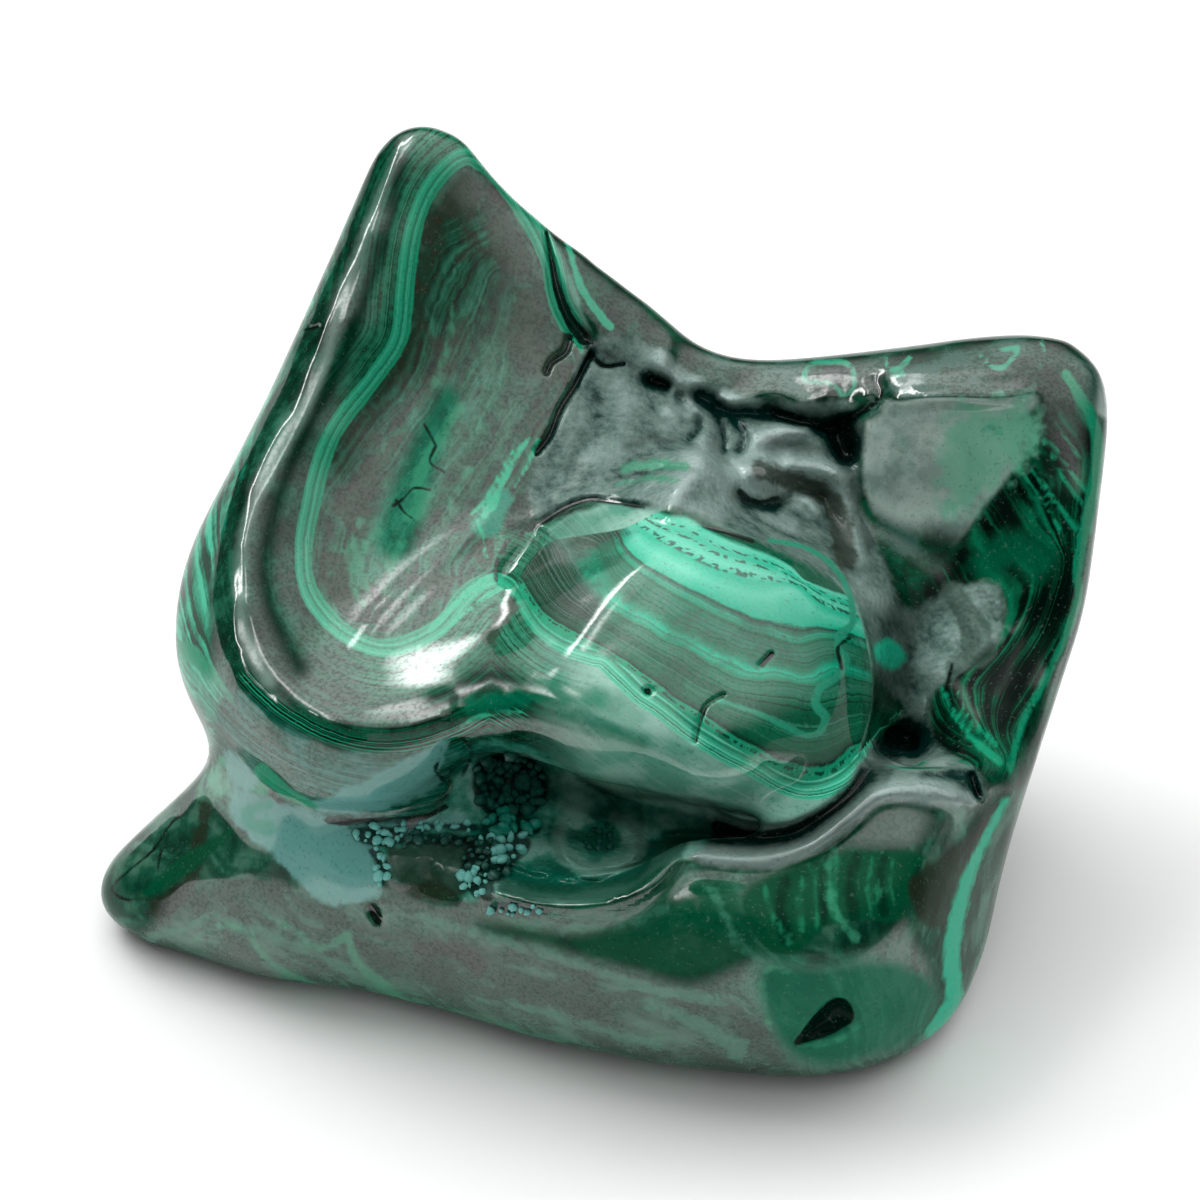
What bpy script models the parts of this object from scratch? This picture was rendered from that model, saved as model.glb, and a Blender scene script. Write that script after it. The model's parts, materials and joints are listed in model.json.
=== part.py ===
# A polished free-form malachite specimen, standing on its ground base.
#
# The stone is one piece. It has no straight edge and no true cylinder, so its form is written
# as a field: a number for every point in space that is below zero inside the stone. The field
# is an outline cut through a slab, with a carved front, a plain back and a flat base, and
# every edge between them rounded as tumbling rounds it. The mesh is the field's zero level.
#
# Frame: metres, +Z up, X to the right, Y away from the viewer. The stone stands on z = 0 with
# the middle of its box over the origin.

import math
from itertools import product

import bmesh
import bpy
import numpy as np
from mathutils import noise

# Driving dimensions
STONE_WIDTH = 0.0980  # on the picture plane; the foot and shoulder lie behind it and are 0.100 apart
VIEW_ELEVATION = math.radians(30)  # the picture looks down on the stone by this much
VIEW_DISTANCE = 0.50  # from the eye to the picture plane
PLANE_CENTRE = (0.0, 0.0016, 0.0358)  # where the picture's middle pixel meets the picture plane

# The picture, in its own pixels
PICTURE_MIDDLE = 600
PIXELS_ACROSS_STONE = 1018

FRONT_ROUNDING = 0.0062
BACK_ROUNDING = 0.0110
BASE_ROUNDING = 0.0040
CELL = 0.00276  # side of one facet
CRUST_GAP = 0.00035
CRUST_THICKNESS = 0.0014
CRUST_LUMP = 0.0016  # across one lump

MM = 0.001
PIXEL = STONE_WIDTH / PIXELS_ACROSS_STONE

# The stone's outline in the picture, clockwise from the tip of the peak
OUTLINE = [
    (416, 117), (446, 122), (466, 138), (510, 189), (590, 253), (662, 311), (690, 339),
    (725, 356), (770, 360), (850, 353), (930, 343), (1010, 334), (1055, 337), (1090, 354),
    (1107, 385), (1108, 430), (1096, 530), (1084, 610), (1062, 680), (1033, 770), (1014, 830),
    (998, 890), (986, 955), (974, 1004), (952, 1036), (912, 1063), (860, 1080), (800, 1084),
    (720, 1077), (620, 1063), (530, 1045), (450, 1021), (390, 1004), (330, 995), (260, 990),
    (200, 978), (140, 955), (104, 930), (91, 903), (102, 870), (140, 831), (185, 790),
    (209, 763), (215, 747), (204, 728), (186, 692), (176, 655), (177, 605), (189, 550),
    (219, 490), (260, 410), (298, 330), (333, 250), (360, 185), (376, 148), (393, 127),
]

# Soundings of the carved front: picture x, picture y, and millimetres towards the viewer
RIM = [
    (407, 150, 0.5), (380, 210, 0.8), (350, 290, 2.5), (322, 355, 4.5), (292, 420, 6.5),
    (262, 480, 9), (240, 530, 11), (230, 590, 13), (240, 650, 16), (268, 693, 19),
    (310, 714, 21.2), (360, 728, 22.8), (410, 729, 23.6), (460, 716, 24.6), (510, 697, 25.5),
]
OUTSIDE_RIM = [(345, 250, 1.5), (270, 400, 5), (205, 560, 8.5), (196, 640, 11), (222, 712, 15)]
DISH = [
    (425, 180, -2), (455, 230, -3), (430, 320, -2), (510, 310, -3), (385, 400, 0.5),
    (455, 410, -0.5), (530, 400, -0.5), (330, 480, 4.5), (400, 490, 3.8), (480, 480, 3.5),
    (290, 560, 9), (350, 575, 8.5), (430, 565, 8.8), (292, 640, 13.5), (345, 650, 14),
    (410, 640, 15), (465, 600, 13), (330, 690, 18.6), (400, 690, 20), (460, 675, 20.8),
]
TOP_RIM = [
    (478, 170, -2), (560, 245, -5), (620, 300, -7), (670, 350, -8), (720, 380, -8),
    (800, 375, -7), (880, 372, -6), (960, 362, -5), (1040, 358, -4), (1078, 385, -3),
]
HOLLOW = [
    (560, 330, -4), (575, 380, -3), (620, 370, -6), (600, 430, 0), (570, 480, 3),
    (545, 520, 5.5), (650, 430, -2), (630, 480, 4), (590, 520, 8), (700, 400, -9),
    (740, 430, -10), (690, 470, 2.5), (770, 470, -9), (800, 430, -10), (830, 490, -9),
    (790, 515, -5), (850, 545, -6), (700, 505, 6), (660, 510, 9),
]
SHOULDER = [
    (900, 410, -4), (960, 420, -3.5), (1020, 410, -2.5), (900, 470, -5), (960, 480, -5),
    (1010, 470, -3), (1070, 440, -1.5),
]
RIGHT_FACE = [
    (1050, 500, 0), (1000, 540, -4), (1060, 570, 2), (940, 570, -6), (1015, 620, -1),
    (960, 640, -3), (1045, 660, 4), (990, 700, 3), (945, 700, 1), (1015, 745, 9),
    (895, 570, -6), (905, 630, -3), (893, 690, 0), (930, 745, 4), (905, 742, 1),
]
LOBE = [
    (645, 540, 14.5), (600, 572, 17), (560, 600, 18), (695, 527, 12.5), (750, 540, 11.5),
    (805, 570, 11), (845, 610, 10.5), (868, 660, 10.5), (600, 628, 22.5), (555, 655, 22.5),
    (680, 600, 21), (760, 620, 19.5), (820, 650, 17), (560, 695, 25.8), (640, 680, 26.2),
    (720, 690, 25.6), (800, 710, 21.5), (862, 720, 13.5), (600, 735, 26.6), (680, 752, 26.4),
    (760, 772, 24.5), (820, 775, 19), (505, 620, 15.2), (520, 565, 10.5), (500, 650, 20),
]
LIP = [
    (300, 758, 20), (258, 745, 16), (350, 782, 19.2), (410, 782, 19.6), (300, 798, 14.5),
    (400, 805, 15.5), (465, 733, 23.4), (540, 740, 24.5), (600, 770, 23), (700, 792, 22.5),
]
CAVITY = [
    (480, 785, 12), (540, 790, 10), (600, 805, 9), (560, 830, 12), (500, 840, 14),
    (640, 830, 11), (450, 805, 13), (690, 826, 11), (430, 835, 14), (735, 836, 13),
]
BASE = [
    (130, 900, -3), (105, 897, -5), (150, 860, -3.5), (200, 830, 0), (235, 800, 3),
    (205, 900, 1.5), (255, 870, 6.5), (165, 935, -4), (250, 935, 4), (320, 845, 11),
    (350, 900, 11), (350, 955, 7), (420, 870, 15), (450, 930, 15), (450, 985, 10.5),
    (520, 895, 20), (550, 950, 20.5), (550, 1005, 16), (600, 905, 22.5), (650, 950, 24.5),
    (650, 1025, 19), (660, 880, 23), (705, 862, 21.5), (750, 950, 26.5), (755, 885, 25),
    (750, 1035, 21), (790, 845, 19.5), (850, 950, 25.5), (850, 880, 24), (850, 1035, 20.5),
    (845, 822, 19), (900, 792, 17.5), (930, 930, 20), (935, 860, 20), (930, 1005, 15),
    (970, 950, 9.5), (972, 880, 13), (955, 800, 16), (1000, 790, 12), (996, 850, 8),
]
FRONT_SOUNDINGS = (
    RIM + OUTSIDE_RIM + DISH + TOP_RIM + HOLLOW + SHOULDER + RIGHT_FACE + LOBE + LIP + CAVITY + BASE
)

# The plain back, in the same terms
BACK_SOUNDINGS = [
    (420, 130, -18), (330, 330, -23), (520, 250, -20), (215, 560, -21), (190, 680, -25),
    (450, 440, -31), (620, 400, -29), (400, 640, -38), (600, 600, -41), (750, 390, -28),
    (760, 600, -41), (900, 390, -28), (1080, 365, -24), (950, 540, -33), (1070, 600, -24),
    (900, 740, -45), (600, 780, -48), (300, 780, -35), (1000, 750, -33), (760, 480, -29),
]

# Channels worn into the front: picture x, picture y, millimetres towards the viewer, radius
UNDERCUTS = {
    "crease under the lip": [
        (222, 752, 5, 1.4), (262, 797, 9, 1.6), (300, 818, 11.5, 1.8), (345, 824, 13, 2.0),
        (400, 823, 14, 2.2), (445, 805, 13.5, 2.8), (480, 770, 15, 3.0),
    ],
    "cavity under the lobe": [
        (480, 778, 13, 3.0), (540, 785, 12, 4.0), (600, 806, 11, 3.6), (680, 818, 11.5, 2.8),
        (740, 834, 13, 2.2), (800, 830, 13, 2.0), (850, 796, 11, 2.4), (893, 745, 5, 3.2),
    ],
    "crack beside the dish": [(572, 315, -3.5, 1.0), (586, 350, -3, 1.3), (594, 375, -3, 1.5)],
    "pit beside the lobe": [(508, 560, 10, 1.6), (500, 578, 11.5, 1.3)],
    "pit in the base": [(820, 1022, 22, 1.9), (842, 1012, 22.4, 1.7)],
    "natural pocket in the back": [(540, 500, -41, 4.5), (640, 540, -43, 6), (730, 640, -46, 5)],
    "scar low on the back": [(300, 640, -33.5, 3.5), (360, 760, -39, 4)],
}
UNDERCUT_BLEND = 0.0012

# Rounded knobs that stand out: the same terms
KNOBS = {
    "finger": [(708, 462, 0.5, 1.6), (692, 484, 4.0, 2.4), (676, 508, 8, 2.0)],
    "boulder in the hollow": [(757, 472, -8.6, 2.6)],
    "chain of upper boulders": [(765, 430, -10.2, 2.0), (800, 455, -10.0, 2.0), (834, 474, -9.4, 1.6)],
    "boss in the cavity": [(600, 838, 12, 3.6)],
    "ridge below the boss": [
        (505, 893, 17.5, 1.9), (570, 901, 20.3, 2.2), (640, 890, 22, 2.2), (690, 862, 21, 2.0),
    ],
    "roll on top of the base": [
        (700, 856, 20, 2.2), (770, 858, 19.5, 2.4), (835, 826, 18.4, 2.4), (885, 795, 16.8, 2.4),
        (940, 788, 14.6, 2.0), (980, 795, 11.6, 1.2),
    ],
    "roll below the shoulder": [
        (885, 402, -6.2, 1.2), (930, 396, -5.2, 2.0), (980, 390, -4.6, 2.0), (1035, 386, -4.6, 1.2),
    ],
}
KNOB_BLEND = 0.0030

# The hollow's floor that the crust of small crystals covers, in picture pixels
CRUST_PATCH = [
    (372, 836), (430, 822), (478, 800), (500, 762), (548, 768), (566, 800), (560, 842),
    (532, 872), (505, 886), (470, 880), (478, 846), (420, 846), (392, 862),
]


def picture_point(x, y, toward_mm=0.0):
    """A picture position in metres: across, up, and towards the viewer from the picture plane."""
    return ((x - PICTURE_MIDDLE) * PIXEL, (PICTURE_MIDDLE - y) * PIXEL, toward_mm * MM)


def to_world(points):
    """Picture positions as world positions. What is nearer the eye covers less of the world."""
    across, up, toward = points.T
    nearer = 1 - toward / VIEW_DISTANCE
    rise, run = math.sin(VIEW_ELEVATION), math.cos(VIEW_ELEVATION)
    world = np.stack(
        [across * nearer, up * nearer * rise - toward * run, up * nearer * run + toward * rise], axis=1
    )
    return world + np.array(PLANE_CENTRE)


def closed_spline(corners, steps=8):
    """A smooth closed curve through the corners, as a ring of points (Catmull-Rom)."""
    corners = np.array(corners, float)
    before, after = np.roll(corners, 1, axis=0), np.roll(corners, -1, axis=0)
    beyond = np.roll(corners, -2, axis=0)
    ring = []
    for t in np.arange(steps) / steps:
        ring.append(
            0.5 * (2 * corners + (after - before) * t + (2 * before - 5 * corners + 4 * after - beyond) * t**2
                   + (3 * corners - before - 3 * after + beyond) * t**3)
        )
    return np.stack(ring, axis=1).reshape(-1, corners.shape[1])


def signed_distance(flat, ring):
    """How far each flat point is outside the ring, and below zero inside it."""
    start, end = ring, np.roll(ring, -1, axis=0)
    side = end - start
    length_squared = np.maximum((side**2).sum(1), 1e-18)
    nearest = np.full(len(flat), np.inf)
    crossings = np.zeros(len(flat), int)
    for corner, run, square, stop in zip(start, side, length_squared, end):
        offset = flat - corner
        along = np.clip(offset @ run / square, 0, 1)
        nearest = np.minimum(nearest, ((offset - along[:, None] * run) ** 2).sum(1))
        spans = (corner[1] > flat[:, 1]) != (stop[1] > flat[:, 1])
        if run[1] != 0:
            crossings += spans & (flat[:, 0] < corner[0] + offset[:, 1] * run[0] / run[1])
    return np.where(crossings % 2 == 1, -1, 1) * np.sqrt(nearest)


class Relief:
    """A smooth sheet through soundings, bent as a thin metal plate would bend."""

    def __init__(self, soundings, stiffness=0.02):
        points = np.array([picture_point(*s) for s in soundings])
        self.pins, heights = points[:, :2], points[:, 2]
        count = len(points)
        plate = self.kernel(self.pins)[0] + stiffness * PIXEL * 100 * np.eye(count) * MM
        tilt = np.hstack([np.ones((count, 1)), self.pins])
        system = np.block([[plate, tilt], [tilt.T, np.zeros((3, 3))]])
        solved = np.linalg.solve(system, np.concatenate([heights, np.zeros(3)]))
        self.weights, self.plane = solved[:count], solved[count:]

    def kernel(self, flat):
        """The plate's bend at each flat point due to each pin, and that bend's slope."""
        offset = flat[:, None, :] - self.pins[None]
        square = (offset**2).sum(-1) + 1e-12
        return 0.5 * square * np.log(square), offset * (np.log(square) + 1)[..., None]

    def height_and_slope(self, flat):
        bend, bend_slope = self.kernel(flat)
        height = bend @ self.weights + self.plane[0] + flat @ self.plane[1:]
        slope = np.einsum("ijk,j->ik", bend_slope, self.weights) + self.plane[1:]
        return height, slope


def rounded_overlap(a, b, radius):
    """The part inside both fields, its edge rounded to the radius."""
    edge = np.hypot(np.maximum(a + radius, 0), np.maximum(b + radius, 0))
    return np.minimum(np.maximum(a, b), -radius) + edge


def blended_union(a, b, blend):
    """The part inside either field, with a fillet where they meet."""
    near = np.maximum(blend - np.abs(a - b), 0) / blend
    return np.minimum(a, b) - near**2 * blend / 4


def tapered_rod(points, stations):
    """How far each point is outside a rod whose radius changes from station to station."""
    spots = np.array([picture_point(x, y, toward) for x, y, toward, _ in stations])
    radii = np.array([radius for *_, radius in stations]) * MM
    outside = np.linalg.norm(points - spots[0], axis=1) - radii[0]
    for start, end, thick, thin in zip(spots, spots[1:], radii, radii[1:]):
        run = end - start
        along = np.clip((points - start) @ run / (run @ run), 0, 1)
        away = np.linalg.norm(points - start - along[:, None] * run, axis=1)
        outside = np.minimum(outside, away - thick - along * (thin - thick))
    return outside


class Stone:
    """The stone's field, over picture positions in metres."""

    def __init__(self):
        self.ring = closed_spline([picture_point(x, y)[:2] for x, y in OUTLINE])
        self.front = Relief(FRONT_SOUNDINGS)
        self.back = Relief(BACK_SOUNDINGS)

    def __call__(self, points):
        flat, toward = points[:, :2], points[:, 2]
        outline = signed_distance(flat, self.ring)
        height, slope = self.front.height_and_slope(flat)
        front = (toward - height) / np.sqrt(1 + (slope**2).sum(1))
        depth, slope = self.back.height_and_slope(flat)
        back = (depth - toward) / np.sqrt(1 + (slope**2).sum(1))
        stone = rounded_overlap(outline, front, FRONT_ROUNDING)
        for stations in KNOBS.values():
            stone = blended_union(stone, tapered_rod(points, stations), KNOB_BLEND)
        for stations in UNDERCUTS.values():
            stone = -blended_union(-stone, tapered_rod(points, stations), UNDERCUT_BLEND)
        stone = rounded_overlap(stone, back, BACK_ROUNDING)
        return rounded_overlap(stone, -to_world(points)[:, 2], BASE_ROUNDING)

    def onto_skin(self, points, step=0.0001):
        """The points slid along the field's steepest slope towards its zero level."""
        here = self(points)
        slope = np.stack([self(points + one) - here for one in np.eye(3) * step], axis=1) / step
        steepness = np.maximum((slope**2).sum(1), 0.25)
        return points - (here / steepness)[:, None] * slope


def cells_of(field, low, high, cell):
    """The box of cells, and which of them lie inside the field."""
    counts = np.ceil((np.array(high) - low) / cell).astype(int)
    middles = [low[i] + (np.arange(counts[i]) + 0.5) * cell for i in range(3)]
    grid = np.stack(np.meshgrid(*middles, indexing="ij"), axis=-1)
    return field(grid.reshape(-1, 3)).reshape(counts) < 0


def edge_pinches(inside):
    """Cells to fill where two cells of the stone meet only along an edge."""
    found = np.zeros_like(inside)
    for i, j in ((0, 1), (1, 2), (0, 2)):
        across, up = np.roll(inside, -1, axis=i), np.roll(inside, -1, axis=j)
        both = np.roll(across, -1, axis=j)
        pinched = (inside & both & ~across & ~up) | (~inside & ~both & across & up)
        found |= pinched | np.roll(pinched, 1, axis=i)
    return found


def corner_pinches(inside):
    """Cells to fill where two cells of the stone, or of the air in it, meet only at a corner."""
    found = np.zeros_like(inside)
    corners = list(product((0, 1), repeat=3))
    block = {c: np.roll(inside, [-step for step in c], axis=(0, 1, 2)) for c in corners}
    filled = sum(block[c].astype(int) for c in corners)
    for c in corners[:4]:
        one, other = block[c], block[tuple(1 - step for step in c)]
        pinched = ((filled == 2) & one & other) | ((filled == 6) & ~one & ~other)
        for step in corners:
            found |= np.roll(pinched, step, axis=(0, 1, 2))
    return found


def fill_pinches(inside):
    """The cells with every pinch filled in, since the skin would touch itself there."""
    while True:
        fuller = inside | edge_pinches(inside)
        fuller = fuller | corner_pinches(fuller)
        if (fuller == inside).all():
            return inside
        inside = fuller


def skin_of(inside, low, cell):
    """The faces between inside cells and outside ones, as points and quads that face out."""
    around = np.pad(inside, 1)
    quads = []
    for axis in range(3):
        u, v = np.eye(3, dtype=int)[(axis + 1) % 3], np.eye(3, dtype=int)[(axis + 2) % 3]
        ahead = np.roll(around, -1, axis=axis)
        for leaving, turn in ((around & ~ahead, 1), (~around & ahead, -1)):
            corner = np.argwhere(leaving) + np.eye(3, dtype=int)[axis]
            quads.append(np.stack([corner, corner + u, corner + u + v, corner + v][::turn], axis=1))
    corners, index = np.unique(np.concatenate(quads).reshape(-1, 3), axis=0, return_inverse=True)
    return np.array(low) + (corners - 1) * cell, index.reshape(-1, 4)


def relax_onto(field, mesh, rounds=8):
    """Evens out the facets and slides each corner back onto the field's zero level."""
    corners = len(mesh.verts)
    edges = np.array([[v.index for v in e.verts] for e in mesh.edges])
    points = np.array([v.co for v in mesh.verts])
    neighbours = np.bincount(edges.ravel(), minlength=corners)[:, None]
    for _ in range(rounds):
        total = np.zeros_like(points)
        np.add.at(total, edges[:, 0], points[edges[:, 1]])
        np.add.at(total, edges[:, 1], points[edges[:, 0]])
        points = field.onto_skin(0.4 * points + 0.6 * total / neighbours)
    return field.onto_skin(field.onto_skin(points))


def stone_mesh(field):
    """The stone as a closed mesh of near-square facets, in picture positions."""
    low, high = (-0.053, -0.051, -0.060), (0.053, 0.051, 0.032)
    inside = fill_pinches(cells_of(field, low, high, CELL))
    points, quads = skin_of(inside, low, CELL)
    mesh = bmesh.new()
    verts = [mesh.verts.new(p) for p in points]
    for quad in quads:
        mesh.faces.new([verts[i] for i in quad])
    mesh.verts.index_update()
    for vert, point in zip(mesh.verts, relax_onto(field, mesh)):
        vert.co = point
    bmesh.ops.recalc_face_normals(mesh, faces=mesh.faces)
    bmesh.ops.triangulate(mesh, faces=mesh.faces)
    return mesh


def move_to_world(mesh):
    placed = to_world(np.array([v.co for v in mesh.verts]))
    for vert, point in zip(mesh.verts, placed):
        vert.co = point
    return mesh


def keep_patch(mesh, corners):
    """Keeps the facets that face the viewer inside the patch."""
    mesh.normal_update()
    middles = np.array([face.calc_center_median() for face in mesh.faces])
    facing = np.array([face.normal.z for face in mesh.faces]) > 0.1
    grows = (signed_distance(middles[:, :2], corners) < 0) & (middles[:, 2] > 0) & facing
    bare = [face for face, crusted in zip(list(mesh.faces), grows) if not crusted]
    bmesh.ops.delete(mesh, geom=bare, context="FACES")


def split_in_three(mesh):
    """Each facet becomes nine in its own plane."""
    bmesh.ops.subdivide_edges(mesh, edges=mesh.edges, cuts=2, use_grid_fill=True)


def drop_pinches(mesh):
    """Takes away facets that hang on by a single corner, so that the border is one clean line."""
    while True:
        pinched = [v for v in mesh.verts if sum(e.is_boundary for e in v.link_edges) > 2]
        if not pinched:
            return
        bmesh.ops.delete(mesh, geom=pinched, context="VERTS")
        loose = [v for v in mesh.verts if not v.link_faces]
        bmesh.ops.delete(mesh, geom=loose, context="VERTS")


def keep_largest(mesh):
    """Keeps the biggest island of facets."""
    left = set(mesh.verts)
    islands = []
    while left:
        reached, ahead = set(), [left.pop()]
        while ahead:
            vert = ahead.pop()
            reached.add(vert)
            ahead += [e.other_vert(vert) for e in vert.link_edges if e.other_vert(vert) in left]
            left -= set(ahead)
        islands.append(reached)
    largest = max(islands, key=len)
    bmesh.ops.delete(mesh, geom=[v for v in mesh.verts if v not in largest], context="VERTS")


def crust_patch(stone):
    """A copy of the stone's facets where the crust grows, split finer in their own planes."""
    corners = np.array([picture_point(x, y)[:2] for x, y in CRUST_PATCH])
    mesh = stone.copy()
    keep_patch(mesh, corners + (corners - corners.mean(0)) * 0.2)
    split_in_three(mesh)
    keep_patch(mesh, corners)
    drop_pinches(mesh)
    keep_largest(mesh)
    return mesh


def crust_mesh(stone):
    """A thin lumpy skin of crystals that follows the stone and stands off it by the gap."""
    mesh = crust_patch(stone)
    mesh.normal_update()
    seats = {vert: vert.co + vert.normal * CRUST_GAP for vert in mesh.verts}
    under = list(mesh.verts)
    top = bmesh.ops.duplicate(mesh, geom=mesh.faces[:])
    rims = [edge for edge in mesh.edges if edge.is_boundary]
    for vert in under:
        lump = 0.62 + 0.38 * noise.noise(vert.co / CRUST_LUMP)
        thin = 0.35 if vert.is_boundary else 1
        above = top["vert_map"][vert]
        above.co = seats[vert] + vert.normal * CRUST_THICKNESS * lump * thin
        vert.co = seats[vert]
    bmesh.ops.reverse_faces(mesh, faces=list({f for v in under for f in v.link_faces}))
    bmesh.ops.bridge_loops(mesh, edges=rims)
    bmesh.ops.triangulate(mesh, faces=mesh.faces)
    return mesh


def finish_for(name, colour, roughness):
    material = bpy.data.materials.new(name)
    material.use_nodes = True
    shader = material.node_tree.nodes["Principled BSDF"]
    shader.inputs["Base Color"].default_value = (*colour, 1)
    shader.inputs["Roughness"].default_value = roughness
    shader.inputs["Metallic"].default_value = 0
    return material


def add_object(name, mesh, material):
    data = bpy.data.meshes.new(name)
    mesh.to_mesh(data)
    mesh.free()
    data.shade_smooth()
    data.materials.append(material)
    made = bpy.data.objects.new(name, data)
    bpy.context.scene.collection.objects.link(made)
    return made


def main():
    for old in list(bpy.data.objects):
        bpy.data.objects.remove(old)
    stone = stone_mesh(Stone())
    crust = crust_mesh(stone)
    polish = finish_for("polished malachite", (0.030, 0.105, 0.070), 0.12)
    crystal = finish_for("small turquoise crystals", (0.060, 0.270, 0.250), 0.45)
    add_object("malachite", move_to_world(stone), polish)
    add_object("druse_crust", move_to_world(crust), crystal)


main()
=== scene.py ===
# %% [markdown]
# # A polished malachite free form
# Malachite grows as round crusts, layer on layer, so a cut through it shows bands. This stone was
# tumbled and polished by hand along its natural shape: the high places shine, and the hollows that
# the polishing wheel never reached are still satin and lumpy. The solid model is loaded first, and
# everything below is laid over it.

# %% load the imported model
import json
import math

import bmesh
import bpy
import numpy as np
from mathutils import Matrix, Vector, noise
from mathutils.bvhtree import BVHTree

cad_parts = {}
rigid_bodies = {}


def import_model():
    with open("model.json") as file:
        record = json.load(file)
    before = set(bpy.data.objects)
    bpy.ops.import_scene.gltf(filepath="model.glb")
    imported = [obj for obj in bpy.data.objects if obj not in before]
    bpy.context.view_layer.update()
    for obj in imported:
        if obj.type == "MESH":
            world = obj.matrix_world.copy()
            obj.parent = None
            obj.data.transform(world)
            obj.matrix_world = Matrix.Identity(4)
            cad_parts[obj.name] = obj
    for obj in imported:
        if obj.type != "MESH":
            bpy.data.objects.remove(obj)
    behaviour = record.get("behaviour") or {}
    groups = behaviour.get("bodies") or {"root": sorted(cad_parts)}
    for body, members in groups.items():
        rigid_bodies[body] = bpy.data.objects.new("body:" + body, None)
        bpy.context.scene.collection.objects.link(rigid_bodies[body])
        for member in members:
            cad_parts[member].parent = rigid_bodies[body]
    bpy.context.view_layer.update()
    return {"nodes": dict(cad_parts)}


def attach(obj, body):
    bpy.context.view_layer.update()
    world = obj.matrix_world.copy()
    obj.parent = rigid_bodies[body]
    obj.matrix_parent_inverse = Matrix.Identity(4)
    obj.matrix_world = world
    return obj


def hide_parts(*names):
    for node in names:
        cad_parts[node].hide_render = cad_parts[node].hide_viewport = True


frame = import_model()
print("nodes:", sorted(frame["nodes"]))

# %% [markdown]
# ## The camera and the picture plane
# The stone was read off one photograph, taken from 30 degrees above the table. Its markings are
# placed the same way, by their pixels in a picture 1200 pixels square, so the camera comes first and
# the picture plane is where the solid model has it.

# %% the camera
PIXEL = 0.098 / 1018  # one pixel on the picture plane, in metres
PLANE_CENTRE = np.array([0.0, 0.0016, 0.0358])
VIEW_DISTANCE = 0.50
RISE, RUN = math.sin(math.radians(30)), math.cos(math.radians(30))
ACROSS = np.array([1.0, 0.0, 0.0])
UPWARD = np.array([0.0, RISE, RUN])
TOWARD = np.array([0.0, -RUN, RISE])


def add_camera():
    lens = bpy.data.cameras.new("camera")
    lens.sensor_width = 36
    lens.lens = 36 * VIEW_DISTANCE / (1200 * PIXEL)
    lens.clip_start = 0.01
    camera = bpy.data.objects.new("camera", lens)
    bpy.context.scene.collection.objects.link(camera)
    camera.location = PLANE_CENTRE + TOWARD * VIEW_DISTANCE
    camera.rotation_euler = Vector(-TOWARD).to_track_quat("-Z", "Y").to_euler()
    bpy.context.scene.camera = camera
    return camera


camera = add_camera()
bpy.context.scene.view_settings.view_transform = "Standard"  # greens stay as deep as they are painted
print("lens", round(camera.data.lens, 1), "mm")

# %% pixels of the picture


def to_picture(points):
    """World points as picture x and y in pixels, and millimetres towards the viewer."""
    offset = points - PLANE_CENTRE
    toward = offset @ TOWARD
    nearer = 1 - toward / VIEW_DISTANCE
    x = 600 + offset @ ACROSS / nearer / PIXEL
    y = 600 - offset @ UPWARD / nearer / PIXEL
    return np.stack([x, y], axis=1), toward * 1000


# %% [markdown]
# ## Sums in a shader
# Nodes paint the stone, the table and the room. A small class wraps a socket, so that a sum on
# shader numbers can be written as a sum, and a second one adds nodes to a material or to the world.
# Both come first, because the table already needs them.

# %% sums on sockets


class Value:
    """A number in the shader that can be added, multiplied and so on."""

    def __init__(self, graph, socket):
        self.graph, self.socket = graph, socket

    def _math(self, operation, first, second=None):
        given = [value for value in (first, second) if value is not None]
        return self.graph.node("ShaderNodeMath", {"operation": operation}, dict(enumerate(given)))

    def __add__(self, other):
        return self._math("ADD", self, other)

    def __sub__(self, other):
        return self._math("SUBTRACT", self, other)

    def __rsub__(self, other):
        return self._math("SUBTRACT", other, self)

    def __mul__(self, other):
        return self._math("MULTIPLY", self, other)

    def over(self, other):
        return self._math("MAXIMUM", self, other)

    def size(self):
        return self._math("ABSOLUTE", self)

    def rise(self, low, high):
        """0 below low, 1 above high, smooth in between."""
        settings = {"interpolation_type": "SMOOTHSTEP", "clamp": True}
        sockets = {"Value": self, "From Min": low, "From Max": high}
        return self.graph.node("ShaderNodeMapRange", settings, sockets)

    __radd__, __rmul__ = __add__, __mul__


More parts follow.
